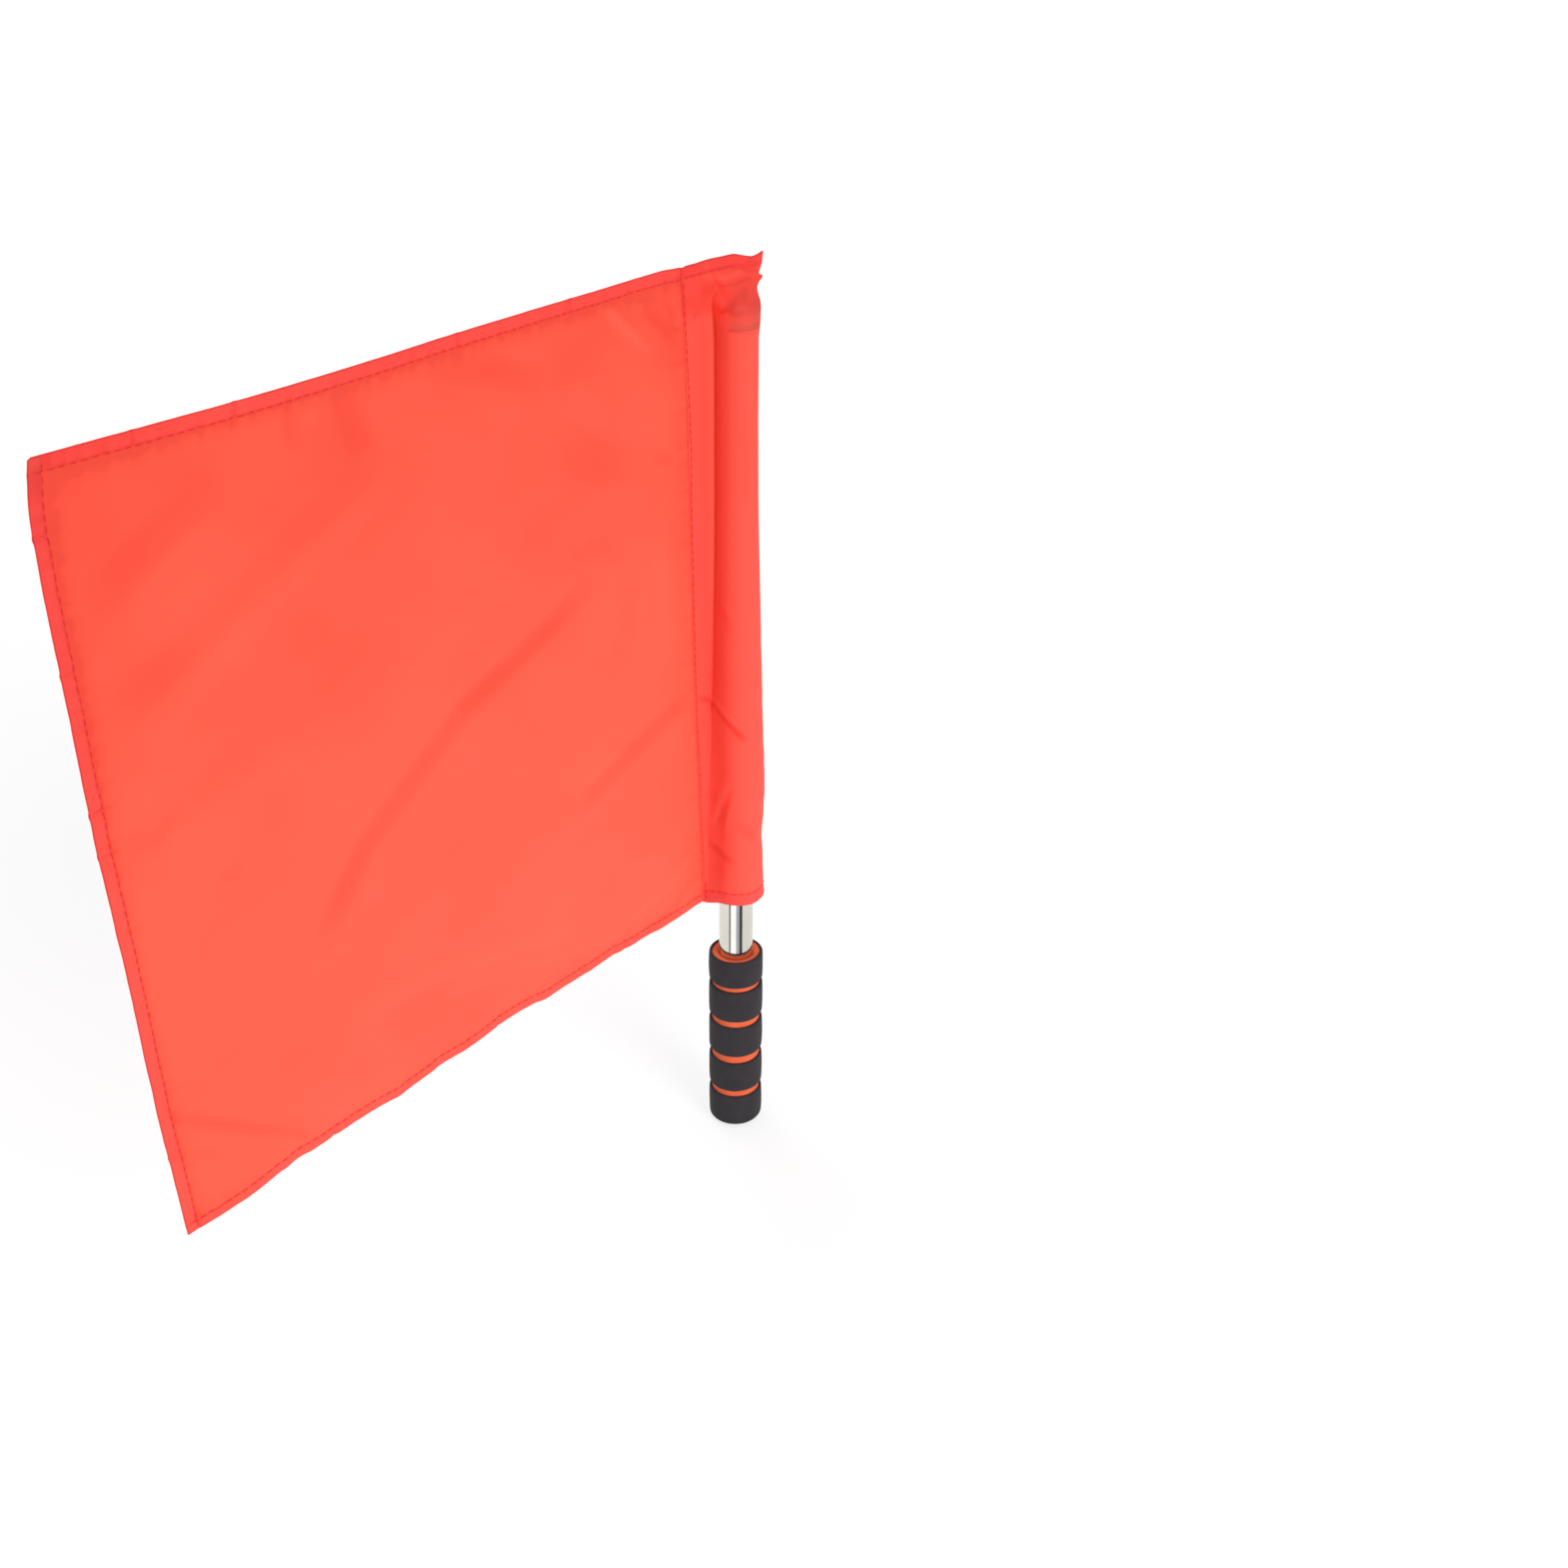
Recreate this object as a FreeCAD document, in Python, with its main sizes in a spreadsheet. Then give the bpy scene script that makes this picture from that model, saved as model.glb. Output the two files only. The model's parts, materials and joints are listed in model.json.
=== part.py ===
import FreeCAD, Part
import math
import os
import Sketcher

# Hand flag of an assistant referee: steel tube, ringed foam grip, red cloth on a sewn sleeve.
# Millimetres. The pole stands along +Z with the flat end of the grip at the origin.
# The cloth reaches away from the pole towards -X, and its face looks towards -Y.

# Driving sizes

DRIVING_SIZES = {
    "tube_radius": 9.5,
    "tube_wall": 0.8,
    "tube_foot": 7.0,
    "bare_length": 40.2,
    "top_inset": 19.5,
    "cap_wall": 0.6,
    "cap_top": 1.6,
    "cap_skirt": 13.0,
    "cap_round": 1.5,
    "plug_flange": 1.4,
    "plug_depth": 12.0,
    "plug_wall": 1.6,
    "grip_radius": 15.2,
    "grip_length": 113.8,
    "grip_end_round": 3.0,
    "skin": 1.6,
    "core_recess": 0.5,
    "core_mouth": 1.4,
    "groove_first": 22.8,
    "groove_pitch": 24.1,
    "groove_width": 4.2,
    "cloth": 0.3,
    "cloth_width": 341.0,
    "cloth_height": 345.5,
    "seam_foot": 16.8,
    "seam_head": 28.6,
    "foot_drop": 4.2,
    "hem_width": 5.6,
    "mouth_hem_width": 7.2,
    "layer_step": 0.7,
    "pole_clearance": 0.35,
    "panel_gap": 0.4,
    "sewn_gap": 0.1,
    "thread_width": 0.7,
    "thread_height": 0.25,
    "seam_inset": 1.2,
    "tack_length": 12.0,
    "tack_width": 1.5,
    "top_reach": 24.5,
    "tip_forward": 4.8,
    "tip_droop": 3.3,
    "long_fold": 3.2,
    "short_fold": 2.2,
    "top_sag": 1.4,
    "edge_wave": 2.4,
}

doc = FreeCAD.newDocument("hand_flag")
sheet = doc.addObject("Spreadsheet::Sheet", "sizes")
for row, (alias, number) in enumerate(DRIVING_SIZES.items(), start=1):
    sheet.set("A%d" % row, alias)
    sheet.set("B%d" % row, str(number))
    sheet.setAlias("B%d" % row, alias)
doc.recompute()


def size(alias):
    """Read one driving size back from the sheet."""
    return float(sheet.get(alias))


# Full turn of a revolved piece in degrees, and the share of a radius at half a quarter turn
FULL_TURN = 360
DIAGONAL_SHARE = math.sqrt(0.5)

# Flat steps that ease the edge of the cap, and the rounder foot of the grip
CAP_STEPS = 1
FOOT_STEPS = 2

# A row of points counts as straight within this share of the cloth's thickness
SAME_SHARE = 0.01

# Width of each orange groove, lowest first, as a share of the usual groove
GROOVE_WIDTH_SHARES = (1.0, 1.19, 1.0, 0.72)


# Handle: each piece is an outline revolved about the pole


def origin_plane(body, role):
    """Find one of a body's own origin planes by its role."""
    return [item for item in body.Origin.OriginFeatures if item.Role == role][0]


def turned_body(label, corners):
    """Revolve a closed outline about the pole.

    Each corner is a pair of expressions, radius and height, and None stands for zero.
    """
    body = doc.addObject("PartDesign::Body", label)
    body.Label = label
    outline = body.newObject("Sketcher::SketchObject", label + "_outline")
    outline.AttachmentSupport = [(origin_plane(body, "XZ_Plane"), "")]
    outline.MapMode = "FlatFace"
    count = len(corners)
    starts = []
    for step in range(count):
        angle = 2 * math.pi * step / count
        starts.append(FreeCAD.Vector(count + math.cos(angle), count + math.sin(angle), 0))
    for step in range(count):
        outline.addGeometry(Part.LineSegment(starts[step], starts[(step + 1) % count]), False)
    for step in range(count):
        joined = Sketcher.Constraint("Coincident", step, 2, (step + 1) % count, 1)
        outline.addConstraint(joined)
    for step, (radius, height) in enumerate(corners):
        if radius is None:
            outline.addConstraint(Sketcher.Constraint("PointOnObject", step, 1, -2))
        else:
            across = Sketcher.Constraint("DistanceX", -1, 1, step, 1, starts[step].x)
            outline.setExpression("Constraints[%d]" % outline.addConstraint(across), radius)
        if height is None:
            outline.addConstraint(Sketcher.Constraint("PointOnObject", step, 1, -1))
        else:
            upward = Sketcher.Constraint("DistanceY", -1, 1, step, 1, starts[step].y)
            outline.setExpression("Constraints[%d]" % outline.addConstraint(upward), height)
    turn = body.newObject("PartDesign::Revolution", label + "_turn")
    turn.Profile = outline
    turn.ReferenceAxis = (outline, ["V_Axis"])
    turn.Angle = FULL_TURN
    doc.recompute()
    return body


def eased_corner(radius, height, way, amount, steps):
    """Corners that ease an outer edge in flat steps, as expressions, from below upwards.

    The way is 1 where the body goes on upwards from the edge, and -1 where it ends there.
    """
    corners = []
    for step in range(steps + 1):
        angle = math.pi / 2 * step / steps
        inward = 1 - math.sin(angle)
        upward = 1 - math.cos(angle)
        near = "%s - %.4f * %s" % (radius, inward, amount)
        if way > 0:
            level = "%s + %.4f * %s" % (height, upward, amount)
        else:
            level = "%s - %.4f * %s" % (height, upward, amount)
        corners.append((near, level))
    return corners if way > 0 else corners[::-1]


TUBE_BORE = "sizes.tube_radius - sizes.tube_wall"
CLOTH_FOOT = "sizes.grip_length + sizes.bare_length"
POLE_TOP = CLOTH_FOOT + " + sizes.cloth_height - sizes.top_inset"
TUBE_END = POLE_TOP + " - sizes.cap_top"
CAP_FOOT = POLE_TOP + " - sizes.cap_skirt"
CAP_RADIUS = "sizes.tube_radius + sizes.cap_wall"
PLUG_FOOT = "sizes.tube_foot - sizes.plug_flange"
PLUG_END = "sizes.tube_foot + sizes.plug_depth"
PLUG_BORE = TUBE_BORE + " - sizes.plug_wall"
CORE_RADIUS = "sizes.grip_radius - sizes.skin"
CORE_TOP = "sizes.grip_length - sizes.core_recess"

# Steel tube, open at both ends
pole_tube = turned_body("pole_tube", [
    (TUBE_BORE, "sizes.tube_foot"),
    ("sizes.tube_radius", "sizes.tube_foot"),
    ("sizes.tube_radius", TUBE_END),
    (TUBE_BORE, TUBE_END),
])

# Soft plastic cap pushed over the upper end of the tube
tip_cap = turned_body("tip_cap", [
    ("sizes.tube_radius", CAP_FOOT),
    (CAP_RADIUS, CAP_FOOT),
    *eased_corner(CAP_RADIUS, POLE_TOP, -1, "sizes.cap_round", CAP_STEPS),
    (None, POLE_TOP),
    (None, TUBE_END),
    ("sizes.tube_radius", TUBE_END),
])

# Hollow plug pushed into the lower end of the tube, its flange under the steel
tube_end_plug = turned_body("tube_end_plug", [
    (None, PLUG_FOOT),
    ("sizes.tube_radius", PLUG_FOOT),
    ("sizes.tube_radius", "sizes.tube_foot"),
    (TUBE_BORE, "sizes.tube_foot"),
    (TUBE_BORE, PLUG_END),
    (PLUG_BORE, PLUG_END),
    (PLUG_BORE, "sizes.tube_foot"),
    (None, "sizes.tube_foot"),
])

# Orange foam core, with a sloped mouth round the steel
grip_core = turned_body("grip_core", [
    ("sizes.tube_radius", PLUG_FOOT),
    (CORE_RADIUS, PLUG_FOOT),
    (CORE_RADIUS, CORE_TOP),
    ("sizes.tube_radius + sizes.core_mouth", CORE_TOP),
    ("sizes.tube_radius", CORE_TOP + " - sizes.core_mouth"),
])


def groove_edge(number, side):
    """Height of one lip of a groove, counted from the lowest, as an expression."""
    half = GROOVE_WIDTH_SHARES[number] / 2
    centre = "sizes.groove_first + %d * sizes.groove_pitch" % number
    return "%s + %.3f * sizes.groove_width" % (centre, side * half)


# Closed black foam end, below the lowest groove
end_top = groove_edge(0, -1)
foot_edge = eased_corner("sizes.grip_radius", "0", 1, "sizes.grip_end_round", FOOT_STEPS)
grip_end_band = turned_body("grip_end_band", [
    (None, None),
    (foot_edge[0][0], None),
    *foot_edge[1:],
    ("sizes.grip_radius", end_top),
    (CORE_RADIUS, end_top),
    (CORE_RADIUS, PLUG_FOOT),
    (None, PLUG_FOOT),
])

# Black foam bands between the grooves, the topmost one first
BAND_LABELS = ("grip_band_4", "grip_band_3", "grip_band_2", "grip_band_1")
grip_bands = []
for number, label in enumerate(BAND_LABELS):
    foot = groove_edge(number, 1)
    if number + 1 < len(BAND_LABELS):
        head = groove_edge(number + 1, -1)
    else:
        head = "sizes.grip_length"
    band = turned_body(label, [
        (CORE_RADIUS, foot),
        ("sizes.grip_radius", foot),
        ("sizes.grip_radius", head),
        (CORE_RADIUS, head),
    ])
    grip_bands.append(band)


# Cloth: modelled in its own frame and then leaned against the pole.
# There u runs from the seam to the free edge, v runs up, and the frame's x is minus u.

WIDTH = size("cloth_width")
HEIGHT = size("cloth_height")
CLOTH = size("cloth")
HALF = CLOTH / 2
LEAN = math.asin((size("seam_head") - size("seam_foot")) / HEIGHT)
TUBE_HUG = size("tube_radius") + size("pole_clearance") + HALF
CAP_HUG = TUBE_HUG + size("cap_wall")
SEWN = size("sewn_gap")
HEM = size("hem_width")
FOOT_HEIGHT = size("grip_length") + size("bare_length")
POLE_HEIGHT = FOOT_HEIGHT + HEIGHT - size("top_inset")

cloth_place = FreeCAD.Placement(
    FreeCAD.Vector(-size("seam_foot"), 0, FOOT_HEIGHT),
    FreeCAD.Rotation(FreeCAD.Vector(0, 1, 0), -math.degrees(LEAN)),
)


def cloth_level(height):
    """Turn a height on the pole into a height in the cloth's frame."""
    rise = height - FOOT_HEIGHT
    return rise * math.cos(LEAN) - size("seam_foot") * math.sin(LEAN)


def pole_place(level):
    """Distance from the seam to the pole's axis at a height in the cloth's frame."""
    return size("seam_foot") / math.cos(LEAN) + level * math.tan(LEAN)


# Folds of the panel, in shares of the cloth's width and height.
# Each has a start, an end, the bow of its line, its half width and the size that lifts it.
FOLD_SHARES = (
    ((0.16, 0.63), (0.82, 0.26), 0.042, 0.085, "long_fold"),
    ((0.0, 0.385), (0.31, 0.27), 0.0, 0.055, "short_fold"),
)

# How far the waves of the foot reach up, and how far from the seam its drop reaches
WAVE_RISE_SHARE = 0.22
WAVE_TURNS_SHARE = 0.72
DROP_REACH_SHARE = 0.25


def bump(share):
    """Smooth hump, 1 in the middle and 0 from a share of 1 outwards."""
    return max(0, 1 - share * share) ** 2


def ease(share):
    """Smooth step from 0 to 1."""
    clipped = min(1, max(0, share))
    return clipped * clipped * (3 - 2 * clipped)


def fold_lift(across, upward, fold):
    """Lift of one fold at a place in the cloth."""
    (u_start, v_start), (u_end, v_end), bow_share, half_share, alias = fold
    du = (u_end - u_start) * WIDTH
    dv = (v_end - v_start) * HEIGHT
    length = math.hypot(du, dv)
    pu = across - u_start * WIDTH
    pv = upward - v_start * HEIGHT
    along = (pu * du + pv * dv) / length ** 2
    aside = (pv * du - pu * dv) / length
    fade = max(0, 1 - (2 * along - 1) ** 2)
    bow = bow_share * length * fade
    return size(alias) * fade * bump((aside - bow) / (half_share * WIDTH))


def stand_off(across, upward):
    """How far the cloth stands in front of its flat plane."""
    lift = sum(fold_lift(across, upward, fold) for fold in FOLD_SHARES)
    rise = 1 - ease(upward / (WAVE_RISE_SHARE * HEIGHT))
    turn = 2 * math.pi * WAVE_TURNS_SHARE * across / WIDTH
    return lift - size("edge_wave") * math.sin(turn) * rise


def level_shift(across, upward):
    """Lower edge drops beside the sleeve, and the upper edge sags between its ends."""
    share = across / WIDTH
    drop = size("foot_drop") * (1 - ease(share / DROP_REACH_SHARE))
    sag = size("top_sag") * 4 * share * (1 - share)
    return -drop * (1 - upward / HEIGHT) - sag * upward / HEIGHT


def span(first, middle, last):
    """One edge through three points: an arc, or a line where they are in line."""
    chord = last.sub(first)
    bulge = middle.sub(first).cross(chord).Length / chord.Length
    if bulge < CLOTH * SAME_SHARE:
        return Part.LineSegment(first, last).toShape()
    return Part.Arc(first, middle, last).toShape()


def spans(points):
    """Edges through a row of points, two steps to an edge."""
    if len(points) == 2:
        return [Part.LineSegment(points[0], points[1]).toShape()]
    return [span(*points[step:step + 3]) for step in range(0, len(points) - 2, 2)]


def ribbon(front, back):
    """Closed wire between two rows of points that run the same way."""
    edges = spans(front)
    edges.append(Part.LineSegment(front[-1], back[-1]).toShape())
    edges += spans(back[::-1])
    edges.append(Part.LineSegment(back[0], front[0]).toShape())
    return Part.Wire(edges)


def cloth_piece(label, wires, ruled=False):
    """Loft a piece of cloth or thread and lean it against the pole."""
    piece = doc.addObject("Part::Feature", label)
    piece.Label = label
    piece.Shape = Part.makeLoft(wires, True, ruled)
    piece.Placement = cloth_place
    return piece


# Stations of the panel: across from the seam to the hem, and up in an even number of steps
ACROSS_SHARES = (0.0, 0.07, 0.19, 0.31, 0.43, 0.55, 0.67, 0.79, 0.89)
UPWARD_STEPS = 12


def arc_lift(across, upward):
    """Lift of the panel's arcs at a place, from the three stations of the arc there."""
    reach = 2 * HEIGHT / UPWARD_STEPS
    start = reach * min(math.floor(upward / reach), UPWARD_STEPS / 2 - 1)
    share = (upward - start) / reach
    low, middle, high = [stand_off(across, start + reach * step / 2) for step in range(3)]
    ends = low * (1 - share) * (1 - 2 * share) + high * share * (2 * share - 1)
    return ends + 4 * middle * share * (1 - share)


def sheet_piece(label, across_row, upward_row, near, far):
    """Piece that follows the panel, between two distances in front of its middle plane."""
    wires = []
    for across in across_row:
        rows = []
        for depth in (far, near):
            row = []
            for upward in upward_row:
                y = TUBE_HUG - arc_lift(across, upward) - depth
                level = upward + level_shift(across, upward)
                row.append(FreeCAD.Vector(-across, y, level))
            rows.append(row)
        wires.append(ribbon(rows[0], rows[1]))
    return cloth_piece(label, wires)


def across_row(start):
    """Stations from a start near the seam to the free edge."""
    inner = WIDTH - HEM
    return [start + share * (inner - start) for share in ACROSS_SHARES] + [inner, WIDTH]


def upward_row(start, end):
    """Even stations from a start to an end, for arcs of two steps each."""
    return [start + (end - start) * step / UPWARD_STEPS for step in range(UPWARD_STEPS + 1)]


seam_side = across_row(size("panel_gap"))
flag_panel = sheet_piece("flag_panel", seam_side, upward_row(0, HEIGHT), -HALF, HALF)

# Turned edges, sewn behind the panel and clear of the seam that it folds on
HEM_NEAR = -HALF - SEWN - CLOTH
HEM_FAR = -HALF - SEWN
hem_row = across_row(size("seam_inset"))
top_hem = sheet_piece("top_hem", hem_row, (HEIGHT - HEM, HEIGHT), HEM_NEAR, HEM_FAR)
bottom_hem = sheet_piece("bottom_hem", hem_row, (0, HEM), HEM_NEAR, HEM_FAR)
fly_hem = sheet_piece(
    "fly_hem",
    (WIDTH - HEM, WIDTH),
    upward_row(HEM + SEWN, HEIGHT - HEM - SEWN),
    HEM_NEAR,
    HEM_FAR,
)

# Rows of stitches on the face of the panel
THREAD = size("thread_width")
THREAD_NEAR = HALF + SEWN
THREAD_FAR = HALF + SEWN + size("thread_height")
top_row = (HEIGHT - HEM, HEIGHT - HEM + THREAD)
foot_row = (HEM - THREAD, HEM)
top_hem_thread = sheet_piece("top_hem_thread", hem_row, top_row, THREAD_NEAR, THREAD_FAR)
bottom_hem_thread = sheet_piece(
    "bottom_hem_thread", hem_row, foot_row, THREAD_NEAR, THREAD_FAR
)
fly_hem_thread = sheet_piece(
    "fly_hem_thread",
    (WIDTH - HEM, WIDTH - HEM + THREAD),
    upward_row(HEM + SEWN, HEIGHT - HEM - SEWN),
    THREAD_NEAR,
    THREAD_FAR,
)


# Sleeve: a fold of the cloth round the pole, wider than the pole and closed above its tip.
# Its middle line at each height runs along the back, round the right, over the front,
# down the left to the crease, and flat to the seam.

CAP_FOOT_LEVEL = cloth_level(POLE_HEIGHT - size("cap_skirt"))
CAP_TOP_LEVEL = cloth_level(POLE_HEIGHT)
MOUTH_LEVEL = -size("foot_drop")
MOUTH_HEM_LEVEL = MOUTH_LEVEL + size("mouth_hem_width")
TOP_HEM_LEVEL = HEIGHT - HEM
SHOULDER_LEVEL = (CAP_TOP_LEVEL + TOP_HEM_LEVEL) / 2
TOP_WIDTH = pole_place(HEIGHT) + size("top_reach")
STEP = size("layer_step")

# Heights of the loose part between the mouth's hem and the tight part, as shares
LOOSE_HEIGHT_SHARES = (0.045, 0.09, 0.12, 0.16, 0.22, 0.30, 0.38, 0.47, 0.56, 0.65)

# The middle line in shares of the hug radius: its reach to the back, right, front, left and
# crease, and the hug of its left side as a share of the chord. From the mouth upwards.
LOOSE_SHARES = (
    (1.06, 1.93, 1.30, 1.28, 1.42, -0.02),
    (1.06, 1.82, 1.25, 1.24, 1.36, -0.02),
    (1.04, 1.74, 1.22, 1.21, 1.33, -0.03),
    (1.02, 1.68, 1.18, 1.17, 1.29, -0.03),
    (1.01, 1.78, 1.16, 1.15, 1.26, -0.03),
    (1.00, 1.98, 1.14, 1.13, 1.23, -0.03),
    (1.00, 1.90, 1.10, 1.10, 1.14, -0.01),
    (1.00, 1.74, 1.07, 1.07, 1.02, 0.02),
    (1.00, 1.60, 1.05, 1.05, 0.92, 0.05),
    (1.00, 1.45, 1.03, 1.03, 0.82, 0.08),
    (1.00, 1.28, 1.01, 1.01, 0.72, 0.10),
    (1.00, 1.12, 1.00, 1.00, 0.64, 0.12),
)
TIGHT_SHARES = (1.00, 1.00, 1.00, 1.00, 0.60, 0.12)
TIGHT_START_SHARE = 0.78
SHOULDER_SHARES = (1.00, 2.05, 0.10, 0.95, 1.00, 0.04)
TOP_SHARES = (1.00, 1.00, 1.00, 1.00, 1.30, 0.0)

# How high above the plane the right, front and left of the shoulder stand, in hug radii
SHOULDER_RISE_SHARES = (0.75, 1.00, 0.60)

# How much of the tip's bend the lower line of the top hem has
TOP_HEM_BEND_SHARE = 0.85


def quarter(turn, side, end):
    """Middle point of a quarter of an ellipse about a centre, between two of its ends."""
    x = turn[0] + DIAGONAL_SHARE * (side[0] + end[0] - 2 * turn[0])
    y = turn[1] + DIAGONAL_SHARE * (side[1] + end[1] - 2 * turn[1])
    return (x, y)


def outline(level, hug, shares, rises=None, reach=None):
    """Steps of the sleeve's middle line at one height, each a row of two or three points.

    The rises lift the right, front and left off the plane where the pole doesn't.
    """
    back_share, right_share, front_share, left_share, crease_share, curl_share = shares
    centre = pole_place(level)
    right_y, front_y, left_y = 0, -hug * front_share, 0
    if rises is not None:
        right_y, front_y, left_y = [TUBE_HUG - rise for rise in rises]
    right_x = centre + (reach if reach is not None else hug * right_share)
    seam_back = (0, TUBE_HUG)
    seam_front = (0, TUBE_HUG - STEP)
    back = (centre, hug * back_share)
    right = (right_x, right_y)
    front = (centre, front_y)
    left = (centre - hug * left_share, left_y)
    crease = (centre - hug * crease_share, TUBE_HUG - STEP)
    run_x = crease[0] - left[0]
    run_y = crease[1] - left[1]
    hug_x = (left[0] + crease[0]) / 2 - curl_share * run_y
    hug_y = (left[1] + crease[1]) / 2 + curl_share * run_x
    return [
        (seam_back, back),
        (back, quarter((centre, right_y), back, right), right),
        (right, quarter((centre, right_y), right, front), front),
        (front, quarter((centre, left_y), front, left), left),
        (left, (hug_x, hug_y), crease),
        (crease, seam_front),
    ]


def between(lower, upper, share):
    """Middle line at a share of the way from one to the next."""
    steps = []
    for first, second in zip(lower, upper):
        row = []
        for start, end in zip(first, second):
            x = start[0] + share * (end[0] - start[0])
            y = start[1] + share * (end[1] - start[1])
            row.append((x, y))
        steps.append(tuple(row))
    return steps


def unit(x, y):
    """Scale a direction to length one."""
    length = math.hypot(x, y)
    return (x / length, y / length)


def outward(step, place):
    """Outward direction of one step of the middle line at one of its points."""
    first, last = step[0], step[-1]
    flat = unit(first[1] - last[1], last[0] - first[0])
    if len(step) == 2:
        return flat
    points = [FreeCAD.Vector(x, y, 0) for x, y in step]
    chord = points[2].sub(points[0])
    bulge = points[1].sub(points[0]).cross(chord).z / chord.Length
    if abs(bulge) < CLOTH * SAME_SHARE:
        return flat
    centre = Part.Arc(*points).toShape().Curve.Center
    side = 1 if bulge < 0 else -1
    x, y = unit(place[0] - centre.x, place[1] - centre.y)
    return (side * x, side * y)


# Straight lines that stand for one arc of the hidden hem
CHORDS = 8

# Longest miter at a sharp crease, in offsets
MITER_SHARE = 2.5


def moved(place, normal, distance):
    """A point moved along a direction."""
    return (place[0] + distance * normal[0], place[1] + distance * normal[1])


def offset_row(path, distance):
    """Points of the middle line moved outwards by a distance, two to a step and one more."""
    ends = []
    for number, step in enumerate(path):
        normal = outward(step, step[0])
        if number > 0:
            before = outward(path[number - 1], step[0])
            reach = 1 + before[0] * normal[0] + before[1] * normal[1]
            reach = max(reach, 2 / MITER_SHARE ** 2)
            normal = ((before[0] + normal[0]) / reach, (before[1] + normal[1]) / reach)
        ends.append(moved(step[0], normal, distance))
    ends.append(moved(path[-1][-1], outward(path[-1], path[-1][-1]), distance))
    row = [ends[0]]
    for number, step in enumerate(path):
        if len(step) == 2:
            start, end = ends[number], ends[number + 1]
            middle = ((start[0] + end[0]) / 2, (start[1] + end[1]) / 2)
        else:
            middle = moved(step[1], outward(step, step[1]), distance)
        row += [middle, ends[number + 1]]
    return row


def bent_row(path, level, distance, bend):
    """Offset points at one height, the closed tip bent forward and down by a share."""
    row = []
    for x, y in offset_row(path, distance):
        away = x / TOP_WIDTH
        y -= bend * size("tip_forward") * away ** 2
        row.append(FreeCAD.Vector(x, y, level - bend * size("tip_droop") * away))
    return row


def band_wire(path, level, near, far, bend=0):
    """Closed wire of a band that follows the middle line between two offsets."""
    return ribbon(bent_row(path, level, far, bend), bent_row(path, level, near, bend))


def chord_wire(path, level, near, far):
    """Closed wire like the band's, with its arcs cut into short straight lines."""
    rows = []
    for distance in (far, near):
        points = bent_row(path, level, distance, 0)
        row = [points[0]]
        for edge in spans(points):
            cut = edge.discretize(CHORDS + 1)
            if cut[0].sub(row[-1]).Length > cut[-1].sub(row[-1]).Length:
                cut = cut[::-1]
            row += cut[1:]
        rows.append(row)
    return Part.makePolygon(rows[0] + rows[1][::-1] + rows[0][:1])


# All heights of the sleeve with their middle lines, from the mouth to the closed top
stations = []
loose_levels = [MOUTH_LEVEL, MOUTH_HEM_LEVEL]
loose_levels += [share * HEIGHT for share in LOOSE_HEIGHT_SHARES]
for level, shares in zip(loose_levels, LOOSE_SHARES):
    stations.append((level, outline(level, TUBE_HUG, shares)))
cap_start = CAP_FOOT_LEVEL - CAP_HUG * math.tan(LEAN) - size("pole_clearance")
for level in (TIGHT_START_SHARE * HEIGHT, cap_start - size("cap_wall")):
    stations.append((level, outline(level, TUBE_HUG, TIGHT_SHARES)))
for level in (cap_start, CAP_TOP_LEVEL):
    stations.append((level, outline(level, CAP_HUG, TIGHT_SHARES)))
shoulder_rises = [share * TUBE_HUG for share in SHOULDER_RISE_SHARES]
shoulder = outline(SHOULDER_LEVEL, TUBE_HUG, SHOULDER_SHARES, shoulder_rises)
stations.append((SHOULDER_LEVEL, shoulder))
for level in (TOP_HEM_LEVEL, HEIGHT):
    flat = outline(level, TUBE_HUG, TOP_SHARES, (STEP, STEP, STEP), size("top_reach"))
    stations.append((level, flat))
top_bends = (TOP_HEM_BEND_SHARE, 1)
bends = [0] * (len(stations) - len(top_bends)) + list(top_bends)

mouth, mouth_head = stations[0], stations[1]
top_foot, top_head = stations[-2], stations[-1]

sleeve_wires = []
for (level, path), bend in zip(stations, bends):
    sleeve_wires.append(band_wire(path, level, -HALF, HALF, bend))
pole_sleeve = cloth_piece("pole_sleeve", sleeve_wires, True)

# Turned edge inside the mouth, round the open part of the sleeve
sleeve_mouth_hem = cloth_piece("sleeve_mouth_hem", [
    chord_wire(path[1:5], level, HEM_NEAR, HEM_FAR) for level, path in (mouth, mouth_head)
], True)

# Turned edge behind the closed top, clear of the seam that the panel folds on
top_hem_wires = []
for (level, path), bend in zip((top_foot, top_head), top_bends):
    start = (size("seam_inset"), path[0][0][1])
    back_steps = [(start, path[0][1]), path[1]]
    top_hem_wires.append(band_wire(back_steps, level, HALF + SEWN, HALF + SEWN + CLOTH, bend))
sleeve_top_hem = cloth_piece("sleeve_top_hem", top_hem_wires, True)


def thread_band(label, lower, upper, steps, share, lower_bend=0, upper_bend=0):
    """Row of stitches round the sleeve, as high as a thread, at a share between two stations."""
    rise = upper[0] - lower[0]
    wires = []
    for place in (share, share + THREAD / rise):
        path = between(lower[1], upper[1], place)[steps]
        level = lower[0] + place * rise
        bend = lower_bend + place * (upper_bend - lower_bend)
        wires.append(band_wire(path, level, THREAD_NEAR, THREAD_FAR, bend))
    return cloth_piece(label, wires, True)


mouth_share = 1 - THREAD / size("mouth_hem_width")
mouth_hem_thread = thread_band("mouth_hem_thread", mouth, mouth_head, slice(1, 5), mouth_share)
sleeve_top_thread = thread_band(
    "sleeve_top_thread", top_foot, top_head, slice(2, 6), 0, *top_bends
)


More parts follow.
